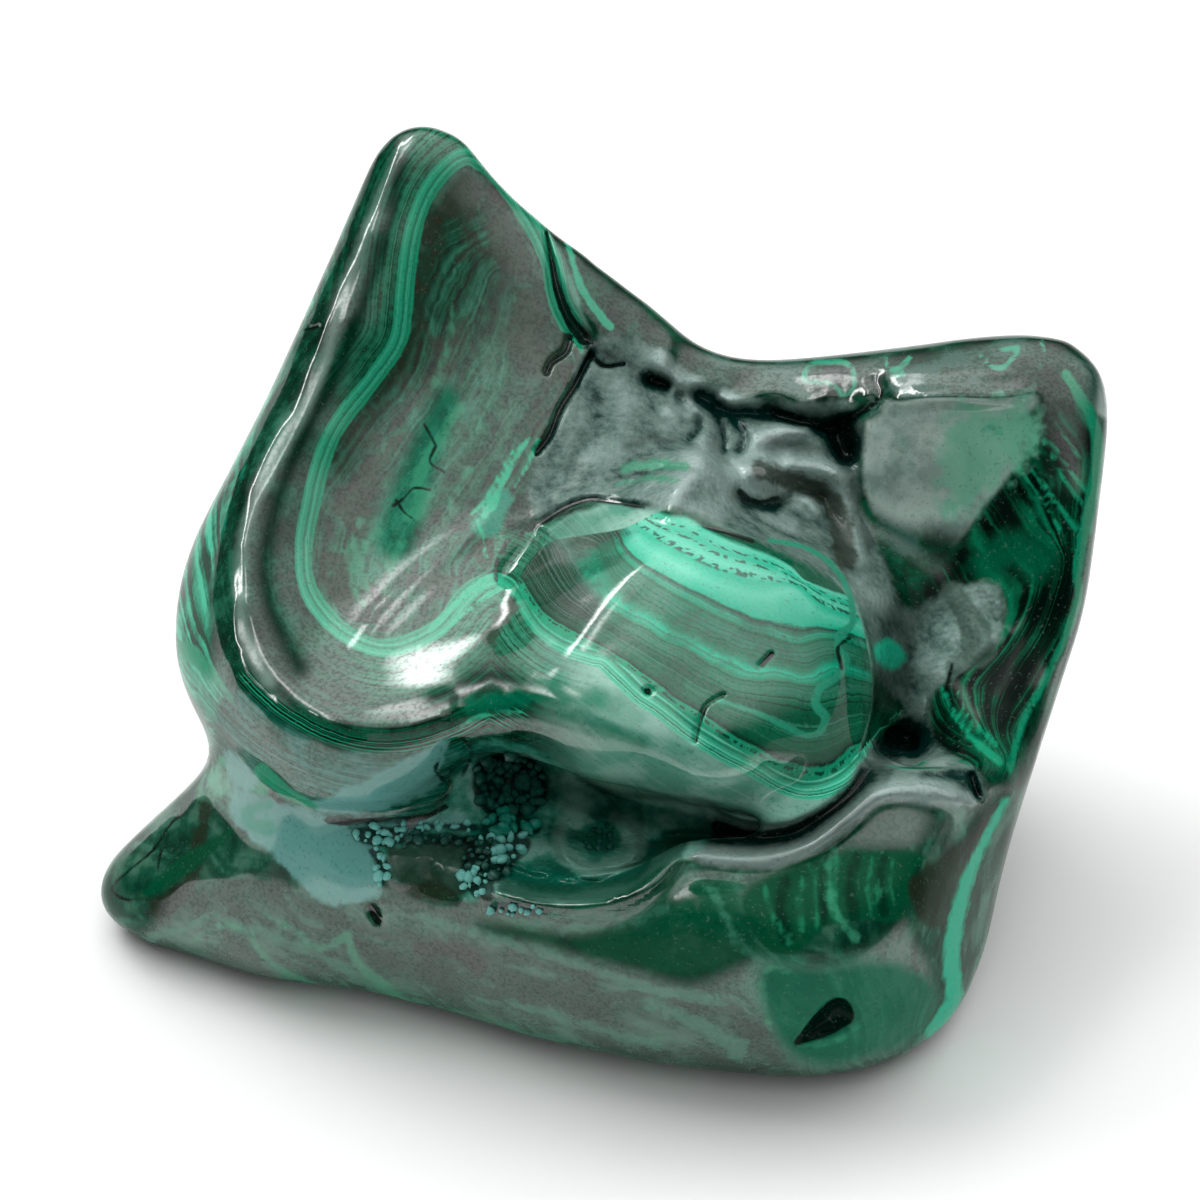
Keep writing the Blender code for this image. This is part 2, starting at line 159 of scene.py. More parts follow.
class Graph:
    """Adds nodes to a material or to the world."""

    def __init__(self, owner, shader="Principled BSDF"):
        owner.use_nodes = True
        self.owner, self.tree = owner, owner.node_tree
        self.shader = self.tree.nodes[shader]

    def node(self, kind, settings, sockets, output=0):
        """Adds a node, its settings first and its sockets after, and returns one output."""
        made = self.tree.nodes.new(kind)
        for name, value in settings.items():
            setattr(made, name, value)
        for name, value in sockets.items():
            self.plug(made.inputs[name], value)
        return Value(self, made.outputs[output])

    def plug(self, socket, value):
        if isinstance(value, Value):
            self.tree.links.new(value.socket, socket)
        else:
            socket.default_value = value

    def attribute(self, name, output="Fac"):
        settings = {"attribute_type": "GEOMETRY", "attribute_name": name}
        return self.node("ShaderNodeAttribute", settings, {}, output)

    def stored(self, name):
        """One of the numbers kept per corner of the skin."""
        attribute, place = STORED[name]
        return self.node("ShaderNodeSeparateXYZ", {}, {0: self.attribute(attribute, "Vector")}, place)

    def place(self):
        return self.node("ShaderNodeTexCoord", {}, {}, output="Object")

    def axis(self, name, vector=None):
        """One of X, Y and Z of a vector, or else of the place on the piece."""
        return self.node("ShaderNodeSeparateXYZ", {}, {0: vector or self.place()}, name)

    def noise(self, per_metre, detail=3, rough=0.55, stretch=(1, 1, 1)):
        """Noise between about 0 and 1."""
        where = self.node("ShaderNodeMapping", {}, {"Vector": self.place(), "Scale": stretch})
        sockets = {"Vector": where, "Scale": per_metre, "Detail": detail, "Roughness": rough}
        return self.node("ShaderNodeTexNoise", {}, sockets)

    def stripes(self, age, per_unit, detail=3):
        """Uneven parallel lines by age, between about 0 and 1."""
        sockets = {"W": age, "Scale": per_unit, "Detail": detail, "Roughness": 0.7}
        return self.node("ShaderNodeTexNoise", {"noise_dimensions": "1D"}, sockets)

    def mix(self, under, over, mask):
        """One colour over another by a mask."""
        settings = {"data_type": "RGBA", "clamp_factor": True}
        return self.node("ShaderNodeMix", settings, {0: mask, 6: under, 7: over}, output=2)

    def ramp(self, value, stops):
        """A table of colours: pairs of a place between 0 and 1 and a colour."""
        made = self.tree.nodes.new("ShaderNodeValToRGB")
        table = made.color_ramp
        while len(table.elements) < len(stops):
            table.elements.new(1.0)
        for element, (place, colour) in zip(table.elements, sorted(stops)):
            element.position, element.color = place, colour
        self.plug(made.inputs["Fac"], value)
        return Value(self, made.outputs["Color"])


# %% [markdown]
# ## Floor and light
# A polished stone is mostly what it mirrors. Malachite throws back about nine parts in a hundred of
# what stands in front of it, which is enough to turn its near-black areas grey under a white
# ceiling. The studio is a pale table with painted shade in front of the stone and on its right, a
# white ceiling that comes down behind it, a dark room on the viewer's side, and two lamp tubes behind
# on the left, which draw the bright lines along the rims. The tubes are painted on the sky, where
# their edges can be as soft as those of a real lamp behind cloth.

# %% the table
TABLE_FRONT = -1.2
TABLE_BACK = 1.6
TABLE_HALF_WIDTH = 1.2
TABLE_SHADE = 0.78  # how much of its white the table loses at its dark ends


def add_table():
    bpy.ops.object.select_all(action="DESELECT")
    middle = (TABLE_FRONT + TABLE_BACK) / 2
    bpy.ops.mesh.primitive_plane_add(size=1, location=(0, middle, 0))
    table = bpy.context.active_object
    table.name = "table"
    table.scale = (2 * TABLE_HALF_WIDTH, TABLE_BACK - TABLE_FRONT, 1)
    bpy.ops.object.transform_apply(location=True, rotation=False, scale=True)
    g = Graph(bpy.data.materials.new("pale table"))
    # painted shade: the table's white darkens towards its right and its front
    to_the_right = g.axis("X").rise(0.085, 0.150)
    to_the_front = g.axis("Y").rise(-0.060, -0.110)
    g.plug(g.shader.inputs["Base Color"], (1 - to_the_right * TABLE_SHADE) * (1 - to_the_front * TABLE_SHADE))
    g.shader.inputs["Roughness"].default_value = 0.75
    table.data.materials.append(g.owner)
    return table


table = add_table()

# %% the fill light


def add_softbox(name, place, aim, width, height, power):
    box = bpy.data.lights.new(name, "AREA")
    box.shape = "RECTANGLE"
    box.size, box.size_y, box.energy = width, height, power
    lamp = bpy.data.objects.new(name, box)
    bpy.context.scene.collection.objects.link(lamp)
    lamp.location = place
    lamp.rotation_euler = (Vector(aim) - Vector(place)).to_track_quat("-Z", "Y").to_euler()
    return lamp


STONE_MIDDLE = (0, 0, 0.035)
fill = add_softbox("fill", (0.05, -0.52, 0.42), STONE_MIDDLE, 0.40, 0.40, 1.1)
fill.visible_glossy = False  # it opens the shade under the lobe without a mirror image on the polish

# %% the room
DARK_ROOM = 0.03
CEILING_MIDDLE = (0.16, 0.30, 1.0)
GLOW_FROM = (-0.235, 0.441, 0.866)  # the brightest part of the ceiling, behind the stone on the left
TUBES = (  # strength, half width, where its end fades, the way to its middle, and the way square to it
    (11.0, 0.08, 0.82, (-0.600, 0.360, 0.705), (-0.604, 0.363, -0.700)),
    (4.0, 0.18, 0.93, (-0.393, 0.105, 0.914), (-0.882, 0.237, -0.407)),
)


def add_room():
    """A white ceiling that leans away from the viewer, over a dark room, with a glow and tubes in it."""
    world = bpy.data.worlds.new("room")
    bpy.context.scene.world = world
    g = Graph(world, "Background")
    direction = g.node("ShaderNodeTexCoord", {}, {}, "Generated")

    def towards(place):
        return g.node("ShaderNodeVectorMath", {"operation": "DOT_PRODUCT"}, {0: direction, 1: place}, "Value")

    ceiling = towards(CEILING_MIDDLE).rise(0.38, 0.90) * 1.12
    lit = ceiling + towards(GLOW_FROM).rise(0.88, 0.995) * 0.9 + DARK_ROOM
    for strength, wide, end, middle, square in TUBES:
        across = towards(square).size().rise(wide, 0.0)
        lit = lit + across * towards(middle).rise(end, 0.4 * end + 0.6) * strength
    g.plug(g.shader.inputs["Color"], lit)
    print("room nodes:", len(g.tree.nodes))


add_room()

# %% [markdown]
# ## The stone's skin
# The solid model has facets of about three millimetres. The skin is a copy of it with the facets
# merged, paired into squares and rounded by a subdivision surface. The side that carries the drawing
# is then split once, the places where lines, cracks and pits crowd twice, and the finest of them
# three times, down to a fifth of a millimetre. Rounds of smoothing stand for the polishing wheel.

# %% copy and round the solid


def only(piece):
    bpy.ops.object.select_all(action="DESELECT")
    piece.hide_viewport = False
    piece.select_set(True)
    bpy.context.view_layer.objects.active = piece


def apply(piece, kind, **settings):
    """Adds a modifier, sets it and applies it."""
    only(piece)
    modifier = piece.modifiers.new(kind.lower(), kind)
    for name, value in settings.items():
        setattr(modifier, name, value)
    bpy.ops.object.modifier_apply(modifier=modifier.name)


def rounded_copy(node, name):
    """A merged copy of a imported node, paired into squares and rounded once."""
    only(frame["nodes"][node])
    bpy.ops.object.duplicate()
    piece = bpy.context.active_object
    piece.name = name
    bpy.ops.object.mode_set(mode="EDIT")
    bpy.ops.mesh.select_all(action="SELECT")
    bpy.ops.mesh.remove_doubles(threshold=0.00001)
    bpy.ops.mesh.tris_convert_to_quads(face_threshold=math.radians(70), shape_threshold=math.radians(70))
    bpy.ops.object.mode_set(mode="OBJECT")
    apply(piece, "SUBSURF", levels=1, render_levels=1)
    return piece


skin = rounded_copy("malachite", "stone_skin")
print("rounded skin:", len(skin.data.polygons), "faces")

# %% split the drawn side finer


def seen_faces(piece):
    """Which faces the camera sees: they face it, and nothing stands in between."""
    tree = BVHTree.FromObject(piece, bpy.context.evaluated_depsgraph_get())
    eye = Vector(camera.location)
    seen = []
    for face in piece.data.polygons:
        to_eye = (eye - face.center).normalized()
        hidden_by, *_ = tree.ray_cast(face.center + to_eye * 0.0005, to_eye)
        clear = face.normal.dot(to_eye) > 0 and hidden_by is None
        seen.append(clear)
    return seen


def split_chosen(piece, chosen, cuts, smoothness, wider=True):
    """Splits only the chosen faces and, where wider, one more row round them."""
    only(piece)
    bpy.ops.object.mode_set(mode="EDIT")
    bpy.ops.mesh.select_mode(type="FACE")
    bpy.ops.mesh.select_all(action="DESELECT")
    bpy.ops.object.mode_set(mode="OBJECT")
    piece.data.polygons.foreach_set("select", chosen)
    bpy.ops.object.mode_set(mode="EDIT")
    if wider:
        bpy.ops.mesh.select_more()
    bpy.ops.mesh.subdivide(number_cuts=cuts, smoothness=smoothness)
    bpy.ops.mesh.select_all(action="SELECT")
    bpy.ops.object.mode_set(mode="OBJECT")


apply(skin, "SMOOTH", factor=0.5, iterations=6)

# %% [markdown]
# ## Curves and distances
# Everything on the stone is placed by a few marks: a line along a band, a ring round a patch, a
# spot for a boss. These helpers turn marks into a smooth curve and say how far each corner of the
# skin is from it, in pixels of the picture, where ten pixels are about a millimetre.

# %% curves through marks


def curve(marks, closed=False, steps=5):
    """A smooth line through the marks, as many short straight runs (Catmull-Rom)."""
    marks = np.array(marks, float)
    if closed:
        marks = np.vstack([marks[-1:], marks, marks[:2]])
    else:
        marks = np.vstack([2 * marks[:1] - marks[1:2], marks, 2 * marks[-1:] - marks[-2:-1]])
    runs = []
    for a, b, c, d in zip(marks, marks[1:], marks[2:], marks[3:]):
        t = (np.arange(steps) / steps)[:, None]
        bend = (2 * a - 5 * b + 4 * c - d) * t**2 + (3 * b - a - 3 * c + d) * t**3
        runs.append(0.5 * (2 * b + (c - a) * t + bend))
    return np.vstack(runs + [marks[-2:-1]])


def nearest_on(line, flat, reach=1500):
    """Distance to the line, how far along it (0 to 1), and which side: above zero on its right.

    Spots further from the line's box than the reach aren't worked out, and count as that far."""
    best = np.full(len(flat), float(reach) ** 2)
    along, side = np.zeros(len(flat)), np.ones(len(flat))
    near = np.flatnonzero(((flat > line.min(0) - reach) & (flat < line.max(0) + reach)).all(1))
    spots, square, part_of, side_of = flat[near], best[near], along[near], side[near]
    for i, (start, end) in enumerate(zip(line, line[1:])):
        run = end - start
        offset = spots - start
        part = np.clip(offset @ run / max(run @ run, 1e-9), 0, 1)
        away = ((offset - part[:, None] * run) ** 2).sum(1)
        closer = away < square
        square[closer] = away[closer]
        part_of[closer] = (i + part[closer]) / (len(line) - 1)
        side_of[closer] = np.sign(run[0] * offset[closer, 1] - run[1] * offset[closer, 0] + 1e-9)
    best[near], along[near], side[near] = square, part_of, side_of
    return np.sqrt(best), along, side


def within(ring, flat, reach=40):
    """How deep inside the closed ring each spot lies, below zero outside it."""
    ring = curve(ring, closed=True, steps=3)
    depth = np.full(len(flat), -float(reach))
    near = np.flatnonzero(((flat > ring.min(0) - reach) & (flat < ring.max(0) + reach)).all(1))
    spots = flat[near]
    crossings = np.zeros(len(near), int)
    for start, end in zip(ring, ring[1:]):
        spans = (start[1] > spots[:, 1]) != (end[1] > spots[:, 1])
        if end[1] != start[1]:
            slope = (end[0] - start[0]) / (end[1] - start[1])
            crossings += spans & (spots[:, 0] < start[0] + (spots[:, 1] - start[1]) * slope)
    distance, _, _ = nearest_on(ring, spots)
    depth[near] = np.where(crossings % 2 == 1, distance, -distance)
    return depth


def step(low, high, values):
    """0 at low, 1 at high, and an even rise in between."""
    t = np.clip((values - low) / (high - low), 0, 1)
    return t * t * (3 - 2 * t)


# %% reading a mesh


def triples(collection, what):
    """Three numbers of each item, such as a corner's place, as rows."""
    numbers = np.empty(len(collection) * 3)
    collection.foreach_get(what, numbers)
    return numbers.reshape(-1, 3)


# %% places that the relief, the bands and the paint all use
# The bright double band that rings the dish, crosses to the lobe and follows its lower edge
MAIN_BAND = [
    (566, 326), (554, 302), (546, 264), (531, 229), (508, 195), (484, 168), (462, 160), (434, 188),
    (416, 233),
    (408, 290), (402, 340), (378, 378), (342, 424), (324, 463), (313, 509), (307, 550), (312, 590),
    (336, 622),
    (370, 642), (400, 643), (438, 624), (464, 592), (492, 574), (508, 576), (522, 590), (540, 620),
    (564, 638),
    (592, 648), (608, 652), (626, 668), (645, 686), (668, 702), (698, 725), (729, 744), (759, 759),
    (782, 773),
    (809, 781), (836, 773), (856, 755),
]
LOBE = [
    (518, 583), (540, 620), (564, 638), (592, 648), (626, 668), (668, 702), (729, 744), (782, 773),
    (809, 781),
    (836, 773), (856, 755), (872, 700), (866, 640), (850, 600), (818, 566), (775, 546), (735, 532),
    (700, 514),
    (664, 510), (625, 528), (580, 536), (545, 545),
]
HOLLOW = [
    (586, 342), (620, 336), (660, 350), (700, 380), (760, 400), (810, 404), (856, 404), (864, 440),
    (858, 500),
    (884, 560), (904, 610), (950, 590), (998, 585), (1000, 640), (960, 672), (930, 700), (935, 745),
    (975, 770),
    (985, 800), (930, 808), (885, 802), (852, 830), (800, 862), (740, 868), (700, 862), (672, 842),
    (700, 815),
    (760, 828), (812, 812), (846, 786), (866, 752), (905, 712), (880, 680), (868, 630), (846, 590),
    (790, 556),
    (735, 532), (690, 512), (640, 508), (590, 500), (540, 522), (530, 480), (545, 440), (570, 395),
]
CAVITY = [
    (448, 800), (452, 768), (480, 742), (520, 744), (556, 760), (600, 792), (660, 806), (712, 822),
    (700, 850),
    (660, 866), (620, 892), (560, 902), (500, 892), (470, 904), (440, 880), (400, 886), (384, 866),
    (356, 830), (400, 828),
]
# Hairline cracks: half width at the start and at the end, marks
CRACKS = [
    (1.0, 7, [(546, 232), (552, 262), (557, 287), (567, 315), (584, 338)]),
    (2.5, 1.5, [(571, 336), (566, 352), (552, 362), (546, 374)]),
    (2.5, 1.5, [(590, 352), (583, 366), (574, 386), (559, 410), (548, 437), (536, 455)]),
    (2, 1, [(592, 356), (604, 366), (624, 364)]),
    (1.2, 1.2, [(725, 695), (708, 704), (701, 722), (696, 741)]),
    (1.2, 1, [(424, 424), (432, 438), (436, 446)]),
    (1.2, 1, [(436, 446), (430, 462), (444, 472)]),
    (1.2, 1, [(393, 506), (404, 498), (414, 488), (430, 490)]),
    (1.0, 1, [(396, 500), (404, 512), (412, 518)]),
    (1.2, 1.2, [(304, 330), (318, 327)]),
    (1.4, 1.2, [(161, 851), (158, 868)]),
    (1.0, 1.2, [(186, 811), (171, 824), (153, 850), (131, 869), (112, 888), (124, 899), (140, 899)]),
    (2, 1, [(752, 1070), (772, 1066)]),
]

CRESCENT = [(494, 890), (540, 902), (590, 904), (640, 888), (672, 856)]
WAVY_RIDGE = [(700, 850), (760, 853), (812, 838), (848, 810), (884, 788), (924, 784), (972, 800)]
MINT_ARC = [(568, 243), (577, 276), (590, 302), (610, 326)]
MINT_FAN = [(532, 434), (510, 470), (488, 516)]
# The two creases along the left rim, where the polish draws two bright lines
RIM_LINES = [
    [(397, 149), (365, 230), (330, 320), (297, 405), (270, 447), (244, 509), (232, 570), (234, 640)],
    [(422, 126), (389, 187), (355, 294), (339, 344), (290, 447), (251, 520), (247, 577), (259, 635),
     (280, 676),
     (312, 708), (350, 724), (400, 728), (440, 718)],
]

# %% split again where the drawing is fine


def chosen_faces(piece, rings, lines):
    """Faces turned to the camera inside the rings, or nearer to a line than its half width."""
    flat, _ = to_picture(triples(piece.data.polygons, "center"))
    chosen = np.zeros(len(flat), bool)
    for ring in rings:
        chosen |= within(ring, flat) > -4
    for half, marks in lines:
        chosen |= nearest_on(curve(marks), flat, reach=30)[0] < half
    return chosen & (triples(piece.data.polygons, "normal") @ TOWARD > 0)


def triangles_of(piece):
    return sum(len(face.vertices) - 2 for face in piece.data.polygons)


def weigh(piece, name, weights):
    """A vertex group, painted in tenths."""
    group = piece.vertex_groups.new(name=name)
    for tenth in range(1, 11):
        chosen = np.flatnonzero(np.round(weights * 10) == tenth)
        group.add(chosen.tolist(), tenth / 10, "REPLACE")


on_picture, _ = to_picture(triples(skin.data.vertices, "co"))
rim_away, _, _ = nearest_on(curve(RIM_LINES[1]), on_picture, reach=90)
weigh(skin, "rim", step(80, 45, rim_away))
apply(skin, "SMOOTH", factor=0.5, iterations=12, vertex_group="rim")
split_chosen(skin, seen_faces(skin), 1, 0.9)
apply(skin, "SMOOTH", factor=0.5, iterations=6)
print("split once:", len(skin.data.polygons), "faces")
lines = [(14, MAIN_BAND), (8, MINT_ARC), (20, MINT_FAN)] + [(16, marks) for marks in RIM_LINES]
lines += [(8, marks) for _, _, marks in CRACKS]
split_chosen(skin, chosen_faces(skin, (LOBE, HOLLOW, CAVITY), lines), 1, 0.3, wider=False)
print("split twice:", len(skin.data.polygons), "faces")
lines = [(10, marks) for marks in RIM_LINES] + [(3, marks) for _, _, marks in CRACKS]
split_chosen(skin, chosen_faces(skin, (), lines), 1, 0.3, wider=False)
apply(skin, "SMOOTH", factor=0.5, iterations=6, vertex_group="rim")
print("finest split:", len(skin.data.polygons), "faces,", triangles_of(skin), "triangles")
points = triples(skin.data.vertices, "co")
flat, _ = to_picture(points)
facing = triples(skin.data.vertex_normals, "vector") @ TOWARD
print("picture box of the skin:", flat.min(0).round(), flat.max(0).round())

# %% [markdown]
# ## Fine relief
# The wheel rode over the high ground, so the relief sits in the low ground: a crack that opens
# beside the dish, an oval pit, knobs like boulders in the hollow behind the lobe, and worn channels
# under the lip. Each is a stroke with a width and a height in millimetres, below zero where it is
# cut in. It moves the skin towards the viewer or away, and only on the side that the picture shows.

# %% strokes of relief
CUTS = [  # height in mm, half width in pixels at the start and at the end, marks
    (-0.5, 4, 4, [(678, 396), (700, 424), (690, 440)]),
    (-0.5, 4, 4, [(714, 410), (724, 432), (724, 452)]),
    (-0.4, 3, 3, [(800, 490), (822, 496)]),
    (-0.5, 4, 5, [(734, 420), (744, 436), (740, 452)]),
    (-0.7, 7, 7, [(592, 838), (606, 842)]),
    (-1.5, 1.5, 9, [(546, 232), (552, 262), (557, 287), (567, 315), (584, 338)]),
    (-0.7, 3.5, 2.5, [(571, 336), (566, 352), (552, 362), (546, 374)]),
    (-0.9, 3, 3, [(592, 352), (586, 364), (575, 385), (560, 409), (549, 436), (537, 452)]),
    (-0.5, 3, 1.5, [(592, 356), (604, 366), (624, 364)]),
    (-0.5, 5, 4, [(516, 534), (545, 520), (568, 506), (591, 499), (620, 503), (646, 506)]),
    (-0.9, 5, 7, [(876, 380), (880, 396), (862, 411), (845, 420), (826, 427), (800, 419), (770, 409)]),
    (-1.2, 7, 8, [(650, 380), (664, 384)]),
    (-0.6, 6, 5, [(737, 490), (750, 504), (770, 508), (788, 498)]),
    (-1.6, 15, 15, [(838, 430), (846, 450)]),
    (-0.9, 9, 5, [(700, 398), (728, 410), (760, 414), (800, 424)]),
    (-2.6, 15, 15, [(896, 736), (912, 742)]),
    (-1.2, 5, 5, [(972, 776), (978, 796)]),
    (-0.6, 5, 5, [(925, 775), (958, 776)]),
    (-1.0, 5, 5, [(372, 908), (378, 918)]),
    (-0.3, 2.5, 2.5, [(553, 817), (549, 840), (560, 866), (600, 884), (640, 874), (652, 846), (640, 816)]),
    (-0.9, 7, 8, [(668, 838), (700, 838), (740, 842), (790, 838), (820, 822), (850, 797), (866, 776)]),
    (-0.9, 7, 7, [(506, 870), (545, 882), (590, 884), (630, 870), (656, 848)]),
    (-0.4, 2, 2, [(724, 695), (707, 705), (700, 722), (695, 741)]),
    (-0.4, 3.5, 3.5, [(704, 526), (728, 533), (754, 542), (768, 550)]),
    (-0.9, 3.5, 3.5, [(647, 691), (648, 692)]),
    (-0.5, 2, 2, [(772, 654), (760, 666)]),
    (-0.3, 3, 3, [(309, 329), (318, 326)]),
]
RISES = [
    (1.0, 15, 12, [(700, 462), (686, 482), (670, 508)]),
    (0.5, 18, 16, [(716, 478), (722, 505)]),
    (1.8, 19, 19, [(750, 472), (764, 474)]),
    (1.3, 13, 11, [(794, 466), (832, 472)]),
    (0.8, 12, 13, [(760, 440), (798, 430)]),
    (0.7, 9, 9, [(736, 400), (772, 392), (806, 402), (828, 396)]),
    (0.6, 10, 8, [(668, 344), (664, 368), (682, 382), (716, 382)]),
    (0.7, 10, 10, [(840, 484), (850, 520), (862, 556)]),
    (0.6, 13, 13, [(862, 586), (880, 600)]),
    (0.8, 13, 10, [(494, 894), (540, 906), (590, 908), (640, 894), (676, 862), (684, 846)]),
    (0.6, 9, 9, [(566, 826), (562, 848), (584, 868), (616, 866), (634, 846), (622, 822)]),
    (0.9, 14, 9, [(700, 856), (760, 860), (810, 846), (846, 818), (880, 795), (920, 792), (970, 806)]),
    (0.8, 11, 9, [(906, 762), (940, 764)]),
    (0.5, 12, 12, [(960, 600), (985, 640), (960, 664)]),
    (1.0, 10, 8, [(896, 400), (940, 397), (1000, 398), (1028, 392)]),
    (0.30, 10, 14, [(488, 520), (440, 560), (389, 608), (350, 660)]),
    (0.3, 16, 16, [(688, 516), (640, 572), (600, 620), (560, 670)]),
    (0.5, 10, 10, [(1000, 770), (1010, 790)]),
    (0.22, 8, 9, RIM_LINES[1]),
    (0.12, 7, 8, RIM_LINES[0]),
    (1.5, 9, 11, CRESCENT),
    (0.5, 9, 7, WAVY_RIDGE),
    (0.7, 7, 7, [(690, 404), (694, 412)]),
    (0.6, 6, 6, [(722, 398), (730, 404)]),
    (0.7, 8, 7, [(704, 438), (712, 446)]),
    (0.5, 6, 6, [(668, 412), (676, 418)]),
    (0.6, 7, 7, [(808, 500), (816, 512)]),
    (0.5, 6, 6, [(784, 516), (794, 524)]),
    (0.7, 5, 5, [(558, 836), (570, 860), (600, 868), (630, 860), (638, 838)]),
]


def relief_of(strokes):
    """Every stroke's height added up at each corner, in mm."""
    height = np.zeros(len(flat))
    for tall, start, end, marks in strokes:
        away, along, _ = nearest_on(curve(marks, steps=4), flat, reach=3 * max(start, end))
        reach = away / (start + (end - start) * along)
        height += tall * np.exp(-(reach**2) * 1.1)
    return height


OVAL_PIT = [(533, 526), (514, 545), (498, 564), (497, 580), (507, 586), (519, 579), (531, 560), (545, 535)]
CORNER_PIT = [(793, 1045), (812, 1018), (834, 998), (850, 1003), (854, 1020), (838, 1032), (810, 1042)]
CHIP = [(440, 742), (462, 736), (476, 746), (470, 766), (452, 782), (436, 778)]
GRAIN_HOLE = [(476, 764), (500, 752), (530, 756), (546, 776), (544, 804), (520, 818), (490, 816), (474, 794)]
relief = 1.35 * (relief_of(CUTS) + relief_of(RISES))
relief -= 1.2 * step(-2, 12, within(GRAIN_HOLE, flat))
LOBE_EDGE = [  # between the main band and the lobe's lower outline, where the stone bulges
    (520, 592), (560, 642), (610, 656), (670, 704), (730, 746), (785, 774), (836, 774), (860, 752),
    (905, 714),
    (880, 736), (856, 770), (840, 791), (817, 810), (785, 823), (754, 823), (722, 814), (705, 800),
    (632, 796),
    (590, 783), (553, 745), (517, 732), (480, 730), (476, 700), (500, 650),
]
away, _, side = nearest_on(curve(MAIN_BAND), flat)
bulge = step(2, 60, away * side) * step(-3, 5, within(LOBE_EDGE, flat))
relief += 3.0 * bulge * step(490, 600, flat[:, 0])
relief -= 1.3 * step(-2, 8, within(OVAL_PIT, flat))
relief -= 1.6 * step(-2, 9, within(CORNER_PIT, flat))
relief -= 0.8 * step(-2, 10, within(CHIP, flat))
print("relief from", relief.min().round(2), "to", relief.max().round(2), "mm")

# %% lumps that the wheel missed


def lumpy(points, size, seed):
    """Even, seeded noise between -1 and 1, with lumps of the given size in metres."""
    return np.array([noise.noise(Vector(p) / size + Vector((seed, 0, 0))) for p in points])


hollow = step(-6, 10, within(HOLLOW, flat))
cavity = step(-6, 8, within(CAVITY, flat))
wild = np.maximum(hollow, cavity)
wild_corners = np.flatnonzero((wild > 0.01) & (facing > 0))
lumps = np.zeros(len(flat))
knobs = abs(lumpy(points[wild_corners], 0.0050, 3))  # round knobs with creases between them
lumps[wild_corners] = 1.0 * knobs - 0.20 + 0.14 * lumpy(points[wild_corners], 0.0016, 7)
relief += lumps * wild
print("corners in natural ground:", len(wild_corners))

# %% press the relief into the skin


def press(piece, height):
    """Moves the corners along the line of sight by the height, but not over the edge of the stone."""
    held = step(0.02, 0.30, facing) * step(0.0003, 0.003, points[:, 2])
    moved = points + TOWARD * (height * held / 1000)[:, None]
    piece.data.vertices.foreach_set("co", moved.ravel())
    piece.data.update()


press(skin, relief)
apply(skin, "SMOOTH", factor=0.35, iterations=2)
bpy.ops.object.shade_smooth()

# %% [markdown]
# ## Growth bands
# A malachite band is a surface of equal age. So the drawing starts from ages, not from stripes: a few
# growth lines are marked on the stone, each with its age, and a smooth sheet is bent through them. The
# stripes are then only a table of colours by age, and they run parallel and swell and pinch together
# as real ones do.

# %% ages spread from marked lines


def ages(lines, spots):
    """A smooth sheet through lines of known age (a thin plate spline)."""
    marks = np.vstack([curve(marks, steps=1) for _, marks in lines])
    values = np.concatenate([np.full(len(marks), age) for age, marks in lines])

    def plate(flat):
        square = ((flat[:, None] - marks[None]) ** 2).sum(-1) / 1e4 + 1e-9
        return square * np.log(square)

    count = len(marks)
    tilt = np.hstack([np.ones((count, 1)), marks / 100])
    system = np.block([[plate(marks) + 0.003 * np.eye(count), tilt], [tilt.T, np.zeros((3, 3))]])
    solved = np.linalg.solve(system, np.concatenate([values, np.zeros(3)]))
    sheet = [plate(part) @ solved[:count] for part in np.array_split(spots, 40)]
    return np.concatenate(sheet) + solved[count] + spots / 100 @ solved[count + 1:]


KEPT = {}  # numbers per corner of the skin, by name


def keep(name, values):
    """Holds a number per corner until all are stored, three in one attribute."""
    KEPT[name] = values


away, along, side = nearest_on(curve(MAIN_BAND), flat)
keep("band", -away * side)
print("outside the band:", int((away * side < 0).sum()), "corners")

# %% the lobe's ages
LOBE_LINES = [
    (0, [(518, 583), (545, 621), (591, 648), (625, 667), (667, 702), (729, 744), (782, 774), (836, 774),
      (855, 755)]),
    (1.5, [(583, 618), (606, 633), (637, 652), (675, 675), (713, 698), (759, 717), (809, 732), (828, 728)]),
    (3.0, [(576, 591), (598, 610), (625, 625), (664, 644), (702, 667), (732, 683), (794, 688), (822, 690)]),
    (3.8, [(577, 549), (587, 568), (606, 587), (633, 606), (667, 625), (702, 641), (729, 652), (759, 667),
      (800, 674)]),
    (4.2, [(602, 545), (610, 560), (633, 583), (664, 606), (698, 625), (729, 639), (759, 650), (794, 658),
      (828, 652)]),
    (5.7, [(616, 537), (621, 549), (644, 568), (683, 591), (713, 606), (752, 625), (798, 637), (832, 633)]),
    (6.3, [(620, 530), (628, 545), (646, 560), (675, 577), (706, 591), (740, 606), (778, 616), (813, 621)]),
    (7.9, [(637, 524), (656, 537), (683, 551), (698, 560), (717, 568), (744, 574), (771, 581), (802, 586)]),
    (10, [(664, 512), (683, 514), (706, 526), (729, 537), (759, 549), (775, 556), (794, 568), (805, 580)]),
]
keep("lobe_age", ages(LOBE_LINES, flat))

